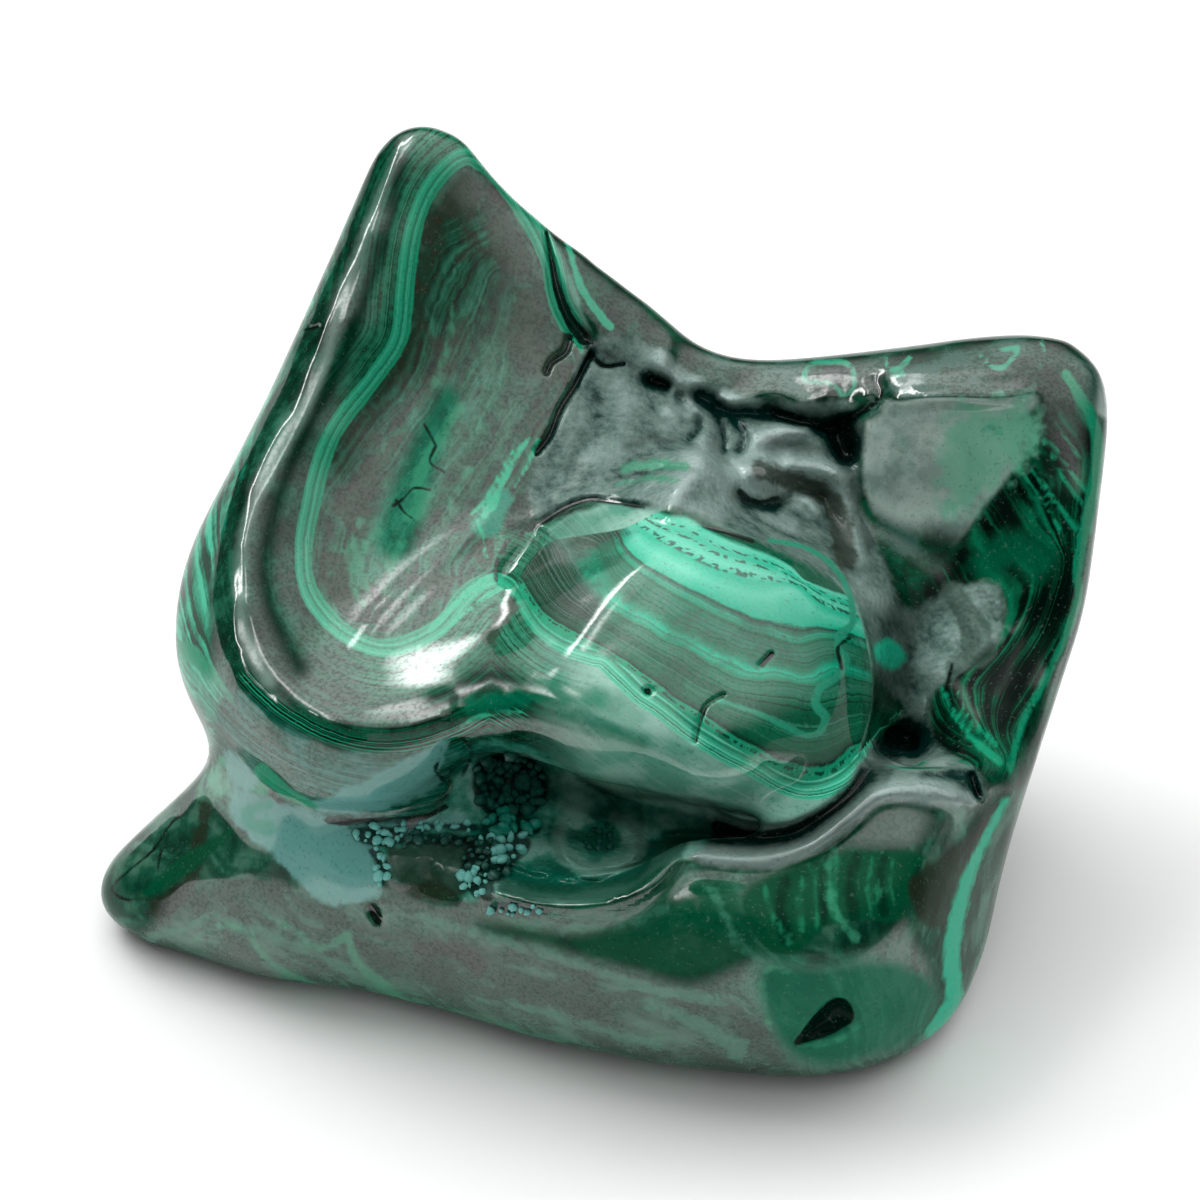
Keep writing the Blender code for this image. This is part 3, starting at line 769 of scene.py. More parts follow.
# %% ages of the foot and of the dark right face
FOOT_LINES = [
    (0, [(200, 985), (300, 997), (400, 1010), (530, 1045), (700, 1076)]),
    (1, [(150, 930), (230, 945), (300, 970), (380, 998), (470, 1022), (600, 1050), (740, 1062)]),
    (2, [(240, 900), (314, 940), (360, 955), (430, 980), (540, 1000), (660, 1015), (740, 1030), (790, 1060)]),
    (3, [(330, 900), (400, 920), (480, 935), (560, 955), (660, 975), (740, 990), (780, 1020)]),
    (4, [(420, 895), (500, 915), (580, 930), (660, 935), (720, 930), (760, 960), (790, 990)]),
    (5, [(500, 900), (560, 912), (620, 912), (680, 890), (720, 870), (742, 900), (766, 940)]),
    (6.5, [(835, 851), (827, 885), (842, 920), (860, 960), (880, 1010)]),
    (8, [(907, 881), (900, 940), (905, 1000)]),
    (9.5, [(980, 851), (961, 897), (951, 943), (949, 981), (930, 1038)]),
]
FACE_LINES = [
    (0, [(1091, 405), (1099, 444), (1095, 493), (1080, 560), (1068, 637), (1034, 702), (1011, 774)]),
    (2, [(1030, 440), (1060, 500), (1070, 560), (1050, 630), (1015, 690), (1003, 740)]),
    (4, [(1000, 500), (1030, 540), (1040, 590), (1015, 650), (985, 690), (990, 730)]),
    (6, [(960, 560), (990, 600), (985, 650), (955, 690), (975, 730), (1000, 765)]),
    (8, [(930, 600), (945, 650), (930, 700), (950, 740), (985, 775)]),
]
keep("foot_age", ages(FOOT_LINES, flat))
keep("face_age", ages(FACE_LINES, flat))

# %% ages of the sides and the back, which the picture doesn't show
BUDS = np.array([  # where round growths began inside the stone, in mm
    (-44, 4, 8), (-30, 22, 16), (-12, 34, 30), (14, 36, 14), (34, 30, 40), (46, 10, 22), (-26, 16, 52),
    (44, 2, 50),
    (6, 38, 46), (-6, 30, 4), (30, -30, 4), (50, -16, 12), (-40, 12, 34), (24, 24, 58), (-14, 20, 66),
]) / 1000
apart = np.linalg.norm(points[:, None] - BUDS[None], axis=2)
bud_age = -np.log(np.exp(-apart * 350).sum(1)) / 350 * 1000
keep("bud_age", bud_age)
print("ages round the buds:", bud_age.min().round(1), "to", bud_age.max().round(1), "mm")

# %% flow lines in the dish, and the height of the relief
DISH_FLOW = [(516, 300), (484, 380), (450, 440), (412, 496), (384, 540), (374, 590)]
keep("eddy", nearest_on(curve(DISH_FLOW), flat, reach=200)[0])
keep("relief", relief)
keep("wild", wild * step(0.02, 0.16, facing))

# %% slow unrest, kept per corner because it is much wider than a facet
drift_here = np.array([noise.noise(Vector(p) * 160) for p in points])
cloud_here = np.array([noise.fractal(Vector(p) * 240, 1.0, 2.0, 4) for p in points])
keep("drift", drift_here)
keep("cloud", cloud_here)

# %% [markdown]
# ## Patches and painted lines
# On top of the bands lie things with a place of their own: turquoise blooms where the copper met
# silica, leaf-shaped windows of dark green, rings round old pits. Each layer is a set of strokes and
# rings, kept as one number per corner: how deep inside the layer that corner is, in pixels.

# %% zones of the drawing
ZONES = {
    "dish": MAIN_BAND[:22] + [(492, 566), (496, 530), (520, 490), (540, 452), (556, 412), (576, 384),
     (584, 350)],
    "lobe": LOBE,
    "lobe_cap": [
        (520, 560), (540, 540), (580, 528), (620, 524), (632, 534), (604, 548), (584, 560), (590, 580),
        (606, 600),
        (596, 622), (570, 624), (548, 610), (530, 590),
    ],
    "skirt": [
        (400, 100), (470, 118), (520, 190), (560, 250), (588, 330), (584, 350), (562, 400), (530, 470),
        (500, 522),
        (530, 530), (600, 505), (664, 508), (735, 530), (800, 555), (850, 590), (868, 640), (872, 700),
        (858, 756),
        (842, 800), (790, 832), (700, 818), (640, 804), (560, 770), (480, 745), (440, 752), (400, 762),
        (300, 742),
        (216, 700), (176, 640), (186, 540), (256, 400), (330, 230), (376, 120),
    ],
    "hollow": HOLLOW,
    "cavity": CAVITY,
    "shoulder": [
        (700, 340), (770, 352), (850, 345), (930, 335), (1010, 326), (1070, 330), (1115, 380), (1112, 420),
        (1080, 405),
        (1044, 420), (1030, 447), (1008, 478), (980, 512), (950, 552), (905, 560), (880, 530), (862, 470),
        (868, 410),
        (880, 396), (850, 396), (780, 394), (720, 384), (680, 350),
    ],
    "right_face": [
        (1046, 420), (1032, 447), (1010, 478), (982, 512), (954, 556), (924, 590), (900, 640), (925, 700),
        (935, 745),
        (975, 770), (1000, 776), (1012, 775), (1036, 702), (1070, 637), (1082, 560), (1097, 493),
        (1101, 444), (1086, 400),
    ],
    "foot": [
        (60, 900), (100, 865), (140, 825), (200, 770), (226, 764), (245, 800), (300, 826), (350, 834),
        (384, 866),
        (400, 886), (470, 908), (560, 910), (630, 898), (672, 866), (700, 864), (760, 868), (810, 860),
        (850, 836),
        (885, 806), (940, 808), (1000, 800), (1040, 780), (1020, 900), (990, 1040), (900, 1100),
        (600, 1100), (300, 1020),
        (120, 970),
    ],
    "lip": [
        (212, 745), (225, 760), (262, 790), (300, 812), (345, 822), (400, 818), (440, 800), (452, 768),
        (470, 735),
        (440, 728), (400, 738), (350, 735), (300, 716), (262, 700), (225, 690),
    ],
    "outer_rim": [
        (390, 110), (365, 170), (338, 250), (300, 330), (262, 420), (226, 520), (208, 600), (214, 660),
        (240, 712),
        (215, 750), (190, 700), (165, 650), (165, 590), (190, 520), (250, 400), (320, 260), (370, 130),
    ],
}
for name, ring in ZONES.items():
    keep(name, within(ring, flat))
print("zones:", ", ".join(ZONES))

# %% where the crystals of the crust sit
GRAINS = [  # kind, spacing and size in pixels, ring
    ("black", 8.5, 11, GRAIN_HOLE),
    ("black", 8, 8, [(380, 838), (400, 834), (440, 834), (474, 836), (478, 846), (440, 844), (400, 846)]),
    ("teal", 10, 14, [(484, 820), (505, 814), (536, 820), (538, 834), (510, 838), (484, 834)]),
    ("turquoise", 8, 9, [(352, 828), (372, 825), (399, 828), (402, 838), (386, 846), (366, 844), (354, 838)]),
    ("turquoise", 8, 8, [(370, 850), (380, 850), (388, 862), (388, 880), (380, 884), (376, 868)]),
    ("turquoise", 8, 7, [(396, 825), (436, 822), (476, 824), (476, 832), (436, 830), (398, 834)]),
    ("turquoise", 9, 10, [(475, 834), (500, 832), (528, 838), (526, 854), (508, 868), (490, 866),
      (478, 850)]),
    ("black", 9, 9, [(470, 842), (500, 842), (520, 850), (508, 876), (484, 884), (462, 870)]),
    ("turquoise", 8, 9, [(462, 868), (480, 868), (494, 878), (494, 898), (480, 900), (464, 886)]),
    ("turquoise", 8, 8, [(491, 905), (518, 903), (546, 905), (546, 914), (518, 916), (494, 914)]),
    ("black", 7, 7, [(584, 828), (600, 822), (616, 830), (618, 846), (602, 856), (586, 848)]),
]

# %% layers of paint: strokes are (half width at the start, at the end, marks)
LAYERS = {
    "matt": {
        "strokes": [
            (14, 20, [(446, 400), (418, 470), (396, 540)]), (12, 14,
             [(500, 752), (560, 764), (610, 792), (690, 806)]),
            (12, 12, [(690, 806), (760, 816), (822, 794), (858, 752)]),
            (12, 12, [(466, 702), (490, 696), (520, 700)]),
            (6, 9, [(404, 190), (366, 300), (330, 386), (292, 463), (268, 540), (270, 600), (300, 668)]),
            (10, 10, [(434, 694), (456, 684), (484, 678), (520, 680), (558, 682)]),
            (8, 8, [(520, 704), (560, 704), (600, 696)]),
        ],
        "rings": [
            [(380, 120), (392, 140), (370, 190), (340, 260), (300, 345), (262, 420), (232, 490), (216, 560),
             (216, 640),
             (208, 680), (180, 650), (166, 590), (180, 520), (230, 420), (290, 300), (340, 180)],
            [(1044, 436), (1080, 500), (1076, 560), (1060, 630), (1030, 690), (1005, 765), (960, 770),
             (935, 740),
             (925, 700), (905, 640), (930, 590), (960, 556), (985, 520), (1010, 480)],
            [(474, 922), (520, 926), (580, 934), (640, 922), (684, 896), (716, 880), (744, 892), (752, 928),
             (768, 952),
             (744, 965), (690, 985), (640, 972), (590, 960), (540, 945), (494, 936)],
            [(760, 970), (820, 968), (892, 962), (940, 990), (920, 1040), (830, 1066), (780, 1040)],
            [(742, 890), (780, 868), (850, 846), (905, 846), (935, 862), (920, 905), (880, 935), (820, 950),
             (770, 960), (735, 930)],
            [(940, 680), (1000, 680), (1044, 690), (1030, 770), (1000, 790), (960, 770), (935, 740)],
            [(900, 900), (940, 850), (990, 795), (1016, 800), (1010, 860), (995, 930), (975, 1000),
             (940, 1060),
             (900, 1060), (930, 980), (912, 940)],
            [(870, 540), (930, 570), (960, 600), (930, 700), (900, 720), (870, 660)],
            [(90, 882), (130, 852), (168, 874), (150, 930), (104, 932)],
        ],
    },
    "shine": {
        "strokes": [
            (7, 8, CRESCENT), (8, 7, WAVY_RIDGE),
            (3, 4, [(660, 342), (666, 362), (676, 380)]), (6, 6, [(696, 466), (682, 488), (664, 512)]),
            (8, 8, [(744, 472), (768, 474)]), (7, 7, [(796, 466), (830, 472)]),
            (5, 5, [(764, 440), (796, 430)]),
            (4, 4, [(558, 830), (562, 850), (584, 868), (616, 866), (636, 846)]),
            (6, 6, [(900, 762), (914, 764)]),
        ],
    },
    "window_light": {
        "strokes": [
            (2, 5, [(840, 854), (832, 884), (836, 918)]), (1, 3, [(808, 864), (798, 895), (802, 932)]),
            (1, 2, [(822, 858), (814, 892), (818, 928)]), (1, 2, [(872, 856), (868, 886), (872, 916)]),
            (1, 1, [(894, 854), (890, 880), (894, 904)]), (2, 3, [(764, 884), (770, 910), (790, 944)]),
            (1.5, 1.5, [(866, 890), (890, 890)]), (1.5, 1.5, [(878, 880), (878, 902)]),
        ],
    },
    "window_dark": {
        "strokes": [
            (5, 7, [(786, 880), (780, 906), (786, 938)]), (4, 6, [(856, 856), (850, 884), (854, 916)]),
            (4, 5, [(884, 858), (880, 884), (884, 912)]), (3, 4, [(826, 862), (822, 892), (826, 924)]),
        ],
    },
    "eye": {
        "strokes": [
            (6, 6, [(562, 826), (557, 846), (572, 863), (600, 870), (628, 864), (642, 846), (636, 826),
              (616, 818)]),
        ],
    },
    "eye_core": {"rings": [[(580, 830), (590, 824), (606, 822), (618, 830), (620, 846), (606, 856),
       (588, 852)]]},
    "crescent": {
        "strokes": [(7, 10, [(504, 886), (540, 892), (590, 892), (634, 882), (664, 862), (680, 838)])],
    },
    "neck": {
        "strokes": [
            (8, 10, [(470, 706), (500, 700), (540, 694), (580, 692), (610, 704)]),
            (4, 6, [(560, 712), (600, 724), (640, 744)]),
        ],
    },
    "core": {
        "strokes": [(16, 22, [(446, 400), (424, 450), (404, 500), (392, 550)])],
    },
    "flow_dark": {
        "strokes": [
            (6, 10, [(300, 905), (350, 925), (400, 940), (450, 945), (500, 960)]),
            (5, 8, [(240, 950), (290, 965), (330, 985)]),
            (8, 12, [(430, 955), (480, 968), (540, 990), (600, 1005)]),
            (6, 6, [(250, 880), (280, 905), (300, 930)]),
            (5, 9, [(600, 1044), (700, 1064), (800, 1080), (880, 1080)]),
            (8, 5, [(100, 880), (120, 910), (170, 930)]),
            (6, 9, [(500, 942), (560, 960), (640, 976), (700, 982), (752, 964)]),
            (5, 5, [(850, 860), (858, 890), (852, 916)]),
            (5, 5, [(780, 884), (786, 916), (782, 946)]), (6, 4, [(560, 930), (572, 950), (580, 966)]),
        ],
    },
    "flow_light": {
        "strokes": [
            (3, 8, [(210, 915), (270, 935), (330, 960), (400, 1000), (480, 1025), (560, 1045)]),
            (3, 6, [(420, 915), (480, 935), (560, 958), (640, 985), (720, 1000)]),
            (4, 10, [(640, 1000), (690, 1020), (740, 1050)]),
            (3, 5, [(480, 1000), (540, 1010), (600, 1030), (660, 1045)]),
            (4, 4, [(500, 917), (560, 928), (620, 924), (664, 908)]),
            (2, 3, [(836, 856), (832, 890), (838, 918)]), (2, 2, [(808, 866), (800, 900), (806, 926)]),
            (3, 5, [(130, 940), (180, 930), (220, 912)]),
            (3, 4, [(690, 874), (718, 900), (734, 936), (760, 962)]),
        ],
    },
    "murk": {
        "strokes": [
            (34, 26, [(476, 250), (462, 320), (446, 380), (420, 440), (398, 500), (384, 560), (376, 590)]),
            (12, 10, [(520, 300), (505, 360), (480, 430)]),
        ],
    },
    "wisps": {
        "strokes": [
            (2, 3, [(197, 937), (218, 926), (246, 932), (259, 950), (282, 970), (311, 983), (350, 995),
              (380, 1001)]),
            (2, 6, [(266, 914), (290, 928), (314, 945), (331, 948), (346, 936), (357, 961), (376, 979),
              (400, 1000), (430, 1015)]),
            (3, 4, [(835, 851), (826, 885), (842, 920), (856, 940)]),
            (2, 2, [(792, 974), (770, 968), (762, 990), (770, 1030)]),
            (2, 2, [(800, 1046), (830, 1044), (856, 1028)]),
            (4, 7, [(462, 406), (446, 430), (426, 462), (416, 486)]),
            (9, 5, [(424, 496), (416, 512), (408, 516)]),
            (4, 3, [(378, 532), (364, 546), (360, 566), (368, 590)]),
            (3, 5, [(404, 540), (398, 552), (388, 566)]),
            (3, 3, [(360, 520), (350, 552), (352, 584), (364, 606)]),
            (3, 2, [(470, 470), (450, 500), (440, 530)]),
            (2, 3, [(454, 300), (446, 352), (432, 392)]),
            (4, 5, [(624, 470), (650, 464), (684, 466)]),
            (2, 3, [(618, 484), (650, 478), (676, 480)]),
        ],
    },
    "fresh_mint": {
        "strokes": [
            (1, 3, [(530, 436), (517, 458), (503, 484), (493, 508)]),
            (2, 4, [(522, 446), (508, 470), (496, 496), (484, 516)]),
            (1, 2, [(512, 452), (499, 476), (486, 500), (472, 514)]),
            (2, 1, [(538, 440), (528, 464), (514, 488)]),
            (2, 2, [(477, 520), (484, 538), (486, 560)]),
            (2, 6, [(430, 630), (458, 602), (480, 584), (498, 578)]),
            (1, 4, [(440, 634), (466, 612), (490, 594), (500, 588)]),
            (2.5, 4, MINT_ARC),
            (2, 2, [(455, 730), (480, 716), (520, 712)]),
        ],
    },
    "teal_glow": {
        "strokes": [
            (10, 14, [(502, 498), (494, 512), (486, 524)]),
            (5, 8, [(268, 804), (246, 812), (252, 824), (268, 828)]),
            (8, 8, [(516, 824), (532, 830)]),
            (9, 9, [(500, 838), (478, 832)]),
        ],
    },
    "mint_spot": {"strokes": [(13, 13, [(888, 652), (892, 656)])]},
    "dark_stripe": {
        "strokes": [
            (6, 8, [(402, 160), (390, 210), (366, 294), (335, 378), (292, 463), (264, 539), (262, 597),
              (288, 652), (304, 672)]),
        ],
    },
    # painted sheen: a pale band along the left rim's crest, between its two bright lines, stands for the grey
    # reflection there
    "painted_rim_sheen": {
        "strokes": [
            (4, 6, [(409, 140), (377, 205), (342, 300), (318, 380), (280, 450), (248, 520), (240, 580),
              (248, 640), (270, 682)]),
        ],
    },
    "rim_lines": {
        "strokes": [
            (9, 9, [(246, 680), (290, 716), (345, 738), (400, 746), (445, 738), (480, 724), (520, 716)]),
        ],
    },
    "window": {
        "strokes": [(3, 10, [(137, 898), (160, 884), (186, 864)]),
         (10, 3, [(186, 864), (212, 846), (234, 828)])],
        "rings": [
            [(747, 885), (777, 872), (808, 858), (836, 848), (870, 852), (907, 850), (926, 858), (908, 881),
             (911, 910),
             (898, 922), (858, 920), (823, 928), (800, 954), (770, 950), (752, 927), (742, 904)],
        ],
    },
    "deep_belly": {
        "rings": [
            [(474, 912), (520, 914), (580, 922), (640, 908), (680, 884), (716, 876), (744, 892), (752, 928),
             (768, 952),
             (744, 965), (720, 985), (690, 990), (640, 975), (590, 962), (540, 945), (494, 930)],
        ],
    },
    "brown": {
        "strokes": [
            (12, 10, [(400, 872), (440, 866), (478, 858)]), (5, 4, [(276, 838), (288, 856), (292, 864)]),
            (5, 4, [(326, 826), (320, 846)]), (8, 6, [(258, 790), (274, 800), (282, 812)]),
            (6, 12, [(206, 806), (190, 880), (160, 910)]), (7, 9, [(420, 950), (460, 952), (480, 966)]),
            (9, 12, [(760, 470), (830, 500), (846, 560)]), (7, 7, [(490, 640), (500, 618), (512, 604)]),
        ],
        "rings": [
            [(907, 881), (938, 858), (976, 826), (994, 806), (986, 836), (969, 866), (957, 904), (944, 928),
             (922, 922), (910, 902)],
            [(388, 850), (420, 844), (470, 838), (478, 862), (470, 890), (440, 902), (400, 892)],
        ],
    },
    "slate": {
        "strokes": [(10, 18, [(950, 590), (972, 622), (978, 650)]), (8, 8, [(952, 668), (964, 660)])],
        "rings": [
            [(194, 968), (207, 955), (230, 950), (246, 953), (262, 964), (285, 981), (314, 994), (266, 996),
             (230, 992), (204, 980)],
            [(854, 843), (869, 820), (896, 805), (923, 813), (953, 824), (938, 836), (907, 847), (873, 851)],
        ],
    },
    "edge_strip": {
        "strokes": [
            (3, 8, [(1006, 800), (982, 846), (966, 884), (956, 922)]),
            (8, 9, [(956, 922), (951, 964), (954, 998), (934, 1036)]),
        ],
    },
    "face_strip": {
        "strokes": [
            (1, 9, [(176, 640), (190, 652)]), (9, 2, [(190, 652), (210, 672), (232, 700)]),
            (8, 3, [(262, 772), (290, 794), (318, 808)]),
            (4, 7, [(222, 760), (240, 776), (262, 790)]),
            (5, 7, [(1066, 374), (1082, 400), (1094, 424), (1098, 452), (1094, 490), (1086, 530)]),
            (1, 2, [(1050, 440), (1074, 476), (1094, 500)]), (1, 1.5, [(1056, 424), (1080, 458)]),
            (1, 1.5, [(1020, 470), (1046, 506), (1070, 548)]),
            (5, 3, [(1086, 530), (1078, 566), (1078, 600), (1064, 640), (1044, 682), (1022, 724),
              (1010, 770)]),
            (1.5, 3, [(1030, 466), (1056, 502), (1084, 540)]),
            (1, 2, [(1041, 436), (1062, 476), (1088, 512)]),
            (2, 4, [(942, 688), (954, 714), (974, 740), (1000, 762)]),
            (1, 2, [(958, 690), (968, 716), (996, 744)]),
        ],
    },
    "face_glow": {
        "strokes": [(14, 20, [(986, 566), (1012, 548), (1036, 560)]),
         (6, 8, [(960, 716), (980, 744), (996, 764)])],
    },
    "moss": {
        "rings": [
            [(949, 417), (961, 405), (992, 407), (1022, 398), (1032, 413), (1038, 424), (1030, 455),
             (999, 478), (976, 501),
             (946, 512), (944, 478), (942, 444)],
            [(202, 789), (220, 797), (231, 786), (222, 769), (210, 771)],
        ],
    },
    "base_moss": {
        "rings": [
            [(748, 966), (790, 952), (820, 968), (850, 950), (892, 962), (940, 990), (920, 1040), (870, 1056),
             (830, 1070), (786, 1060), (770, 1030), (752, 1004)],
        ],
    },
    "collar": {
        "strokes": [
            (2.5, 2.5, [(804, 374), (812, 363), (828, 362), (846, 363), (855, 375), (852, 389), (842, 394),
              (834, 386), (820, 382), (806, 381), (803, 374)]),
            (2.5, 2.5, [(884, 358), (890, 369), (900, 368), (910, 358)]), (2, 2, [(893, 377), (904, 373)]),
            (2.5, 2.5, [(982, 356), (992, 366), (1004, 367), (1014, 356), (1017, 348), (1000, 350)]),
            (2, 2, [(982, 430), (988, 424), (998, 426), (1000, 434), (990, 438), (982, 432)]),
            (2, 2, [(1042, 342), (1043, 352)]), (2, 2, [(1038, 362), (1040, 368)]),
            (2, 4, [(770, 540), (800, 546), (824, 558), (842, 578), (852, 605), (852, 624), (840, 634)]),
            (3.5, 4.5, [(840, 634), (838, 646), (846, 660), (838, 676), (822, 686), (815, 703), (826, 717)]),
            (4, 2, [(826, 717), (820, 732), (806, 735), (784, 726), (757, 713), (731, 704), (716, 699)]),
        ],
    },
    "bloom": {
        "strokes": [
            (5, 6, [(352, 828), (380, 826), (420, 824), (460, 822), (476, 832)]),
            (8, 6, [(366, 846), (374, 850)]),
            (4, 4, [(396, 840), (402, 836)]),
        ],
        "rings": [
            [(233, 790), (262, 796), (290, 806), (330, 818), (352, 828), (374, 838), (380, 870), (382, 893),
             (362, 903),
             (340, 905), (310, 895), (290, 872), (268, 852), (248, 836), (233, 816)],
            [(312, 804), (340, 792), (380, 772), (420, 752), (446, 740), (440, 770), (436, 786), (410, 800),
             (370, 812), (335, 814)],
            [(226, 752), (246, 764), (258, 782), (250, 792), (236, 788), (228, 774)],
        ],
    },
    # cracks, the dark joints in the stone, and also painted shade: black in deep pits, under a boulder and
    # along the groove under the lobe
    "crack": {
        "strokes": CRACKS + [
            (2.5, 1.5, [(514, 537), (545, 521), (568, 507), (591, 499), (618, 503), (644, 507)]),
            (3, 3, [(876, 381), (881, 396), (868, 408)]), (4, 5,
             [(868, 408), (845, 420), (826, 427), (800, 420), (776, 412)]),
            # painted shade in a small pit and in the recess under the round boulder of the hollow
            (6, 3, [(652, 380), (668, 386)]), (3, 2, [(740, 492), (756, 502), (778, 498)]),
            # painted shade: these three strokes blacken deep pits in the hollow and by the notch
            (14, 10, [(840, 432), (846, 452)]), (12, 10, [(896, 738), (912, 742)]),
            (3, 3, [(973, 776), (978, 794)]),
            (3, 2, [(772, 654), (762, 666)]),
            (2, 3, [(704, 526), (728, 533), (752, 541)]), (3.2, 3.2, [(647, 691), (648, 692)]),
            (5, 4, [(374, 590), (378, 600)]), (2.5, 1.5, [(508, 540), (497, 562), (496, 582)]),
            (4, 2.5, [(326, 820), (360, 822), (420, 818), (446, 806)]),
            # painted shade along the groove under the lobe
            (5, 4, [(716, 826), (760, 836), (806, 824), (840, 804), (862, 780)]),
            (5, 5, [(372, 908), (378, 920)]),
            (2, 2, [(440, 748), (436, 770), (446, 784)]), (1.5, 1.5, [(462, 738), (472, 752), (462, 776)]),
            (2, 2, [(852, 636), (838, 648), (842, 668)]), (2, 2, [(952, 664), (946, 690)]),
        ],
        # painted shade in the pit at the lower right corner
        "rings": [CORNER_PIT],
    },
    "shade": {
        "strokes": [
            (12, 18, [(486, 762), (520, 772), (560, 792), (600, 806)]),
            (14, 12, [(600, 806), (660, 820), (712, 834)]),
            (10, 12, [(712, 834), (770, 842), (830, 822), (868, 780)]),
            (12, 12, [(868, 780), (890, 748), (905, 715)]),
            (22, 16, [(905, 715), (895, 680), (905, 620), (930, 590)]),
            (5, 4, [(640, 376), (668, 388), (692, 398)]), (5, 5, [(702, 398), (718, 420), (712, 446)]),
            (5, 5, [(772, 440), (800, 448), (826, 450)]), (4, 6, [(850, 476), (858, 506), (868, 544)]),
            (4, 4, [(626, 446), (650, 438), (672, 440)]), (4, 4, [(586, 330), (600, 350), (632, 364)]),
            (10, 8, [(800, 410), (850, 425), (850, 460)]), (6, 5, [(738, 496), (758, 504), (780, 500)]),
            (6, 9, [(560, 792), (610, 808), (680, 816), (716, 828)]),
        ],
    },
}


def depth_in(layer, flat):
    """How many pixels inside the layer's strokes and rings each corner is."""
    depth = np.full(len(flat), -99.0)
    for start, end, marks in layer.get("strokes", []):
        away, along, _ = nearest_on(curve(marks, steps=4), flat, reach=max(start, end) + 30)
        depth = np.maximum(depth, start + (end - start) * along - away)
    for ring in layer.get("rings", []):
        depth = np.maximum(depth, within(ring, flat))
    return depth


# painted shade: the crust's rings are painted near-black, which shows in the gaps between the beads
LAYERS["shade_between_beads"] = {"rings": [ring for _, _, _, ring in GRAINS[:-1]]}
for name, layer in LAYERS.items():
    keep(name, depth_in(layer, flat))
print("layers:", ", ".join(LAYERS))

# %% which corners the drawing reaches
keep("drawn", step(0.02, 0.16, facing))
print("corners the drawing reaches:", int((facing > 0.16).sum()))

# %% store the numbers on the skin, three to an attribute
STORED = {}  # name: its attribute, and which of the three numbers it is
names = list(KEPT)
for first in range(0, len(names), 3):
    trio = names[first:first + 3]
    rows = np.zeros((len(flat), 3), np.float32)
    for place, name in enumerate(trio):
        rows[:, place] = KEPT[name]
        STORED[name] = (f"numbers_{first // 3}", place)
    layer = skin.data.attributes.new(f"numbers_{first // 3}", "FLOAT_VECTOR", "POINT")
    layer.data.foreach_set("vector", rows.ravel())
print(len(names), "numbers in", len(skin.data.attributes), "attributes")

# %% [markdown]
# ## The polish
# The material mixes flat colours by the numbers stored above. Noise that follows the stone's own
# coordinates frays every edge, so nothing looks cut with scissors. The gloss is a clear coat over the
# colour, thinner where the wheel pressed less.

# %% the paint under the gloss


def paint_of(red, green, blue):
    """A screen colour, 0 to 255, as linear paint."""
    linear = [((c / 255 + 0.055) / 1.055) ** 2.4 if c > 10 else c / 255 / 12.92 for c in (red, green, blue)]
    return (*linear, 1.0)


INK = paint_of(1, 16, 11)
DEEP = paint_of(1, 38, 25)
FOREST = paint_of(2, 64, 42)
GREEN = paint_of(4, 90, 62)
LEAF = paint_of(12, 116, 82)
JADE = paint_of(50, 134, 106)
MINT = paint_of(24, 158, 118)
GLOWING = paint_of(14, 190, 150)
PALE_MINT = paint_of(96, 214, 180)
BROWN = paint_of(46, 52, 38)
GREY = paint_of(78, 106, 98)
PALE_GREY = paint_of(138, 160, 154)
TURQUOISE = paint_of(104, 168, 160)
print("mint paint:", [round(c, 3) for c in MINT[:3]])

# %% textures that several parts of the stone share


class Textures:
    """Noises, stored numbers and masks, made once for the material."""

    def __init__(self, g):
        self.g = g
        self.fray = (g.noise(700, 2) - 0.5) * 2
        self.grain = g.noise(2600, 1)
        self.fleck = g.noise(1300, 2, 0.75)
        self.streaks = g.noise(420, 2, 0.7, stretch=(1.7, 1.2, 0.45))
        self.drift = g.stored("drift")
        self.cloud = g.stored("cloud") * 0.5 + 0.5
        self.band = g.stored("band") * -1 + self.fray * 1.1
        self.across = g.axis("X")
        self.mottle = self.cloud * 0.55 + self.fleck * 0.45

    def inside(self, name, soft=1.5, wobble=2.0):
        depth = self.g.stored(name)
        return (depth + self.fray * wobble if wobble else depth).rise(-soft, soft)

    def three(self, value, dark, middle, light, low=0.38, high=0.62):
        """Dark, middle and light paint by a texture around a half."""
        return self.g.ramp(value, [(low, dark), (0.5, middle), (high, light)])


# %% paint round the dish, up to the rims


def stops(scale, *pairs):
    return [(place / scale, colour) for place, colour in pairs]


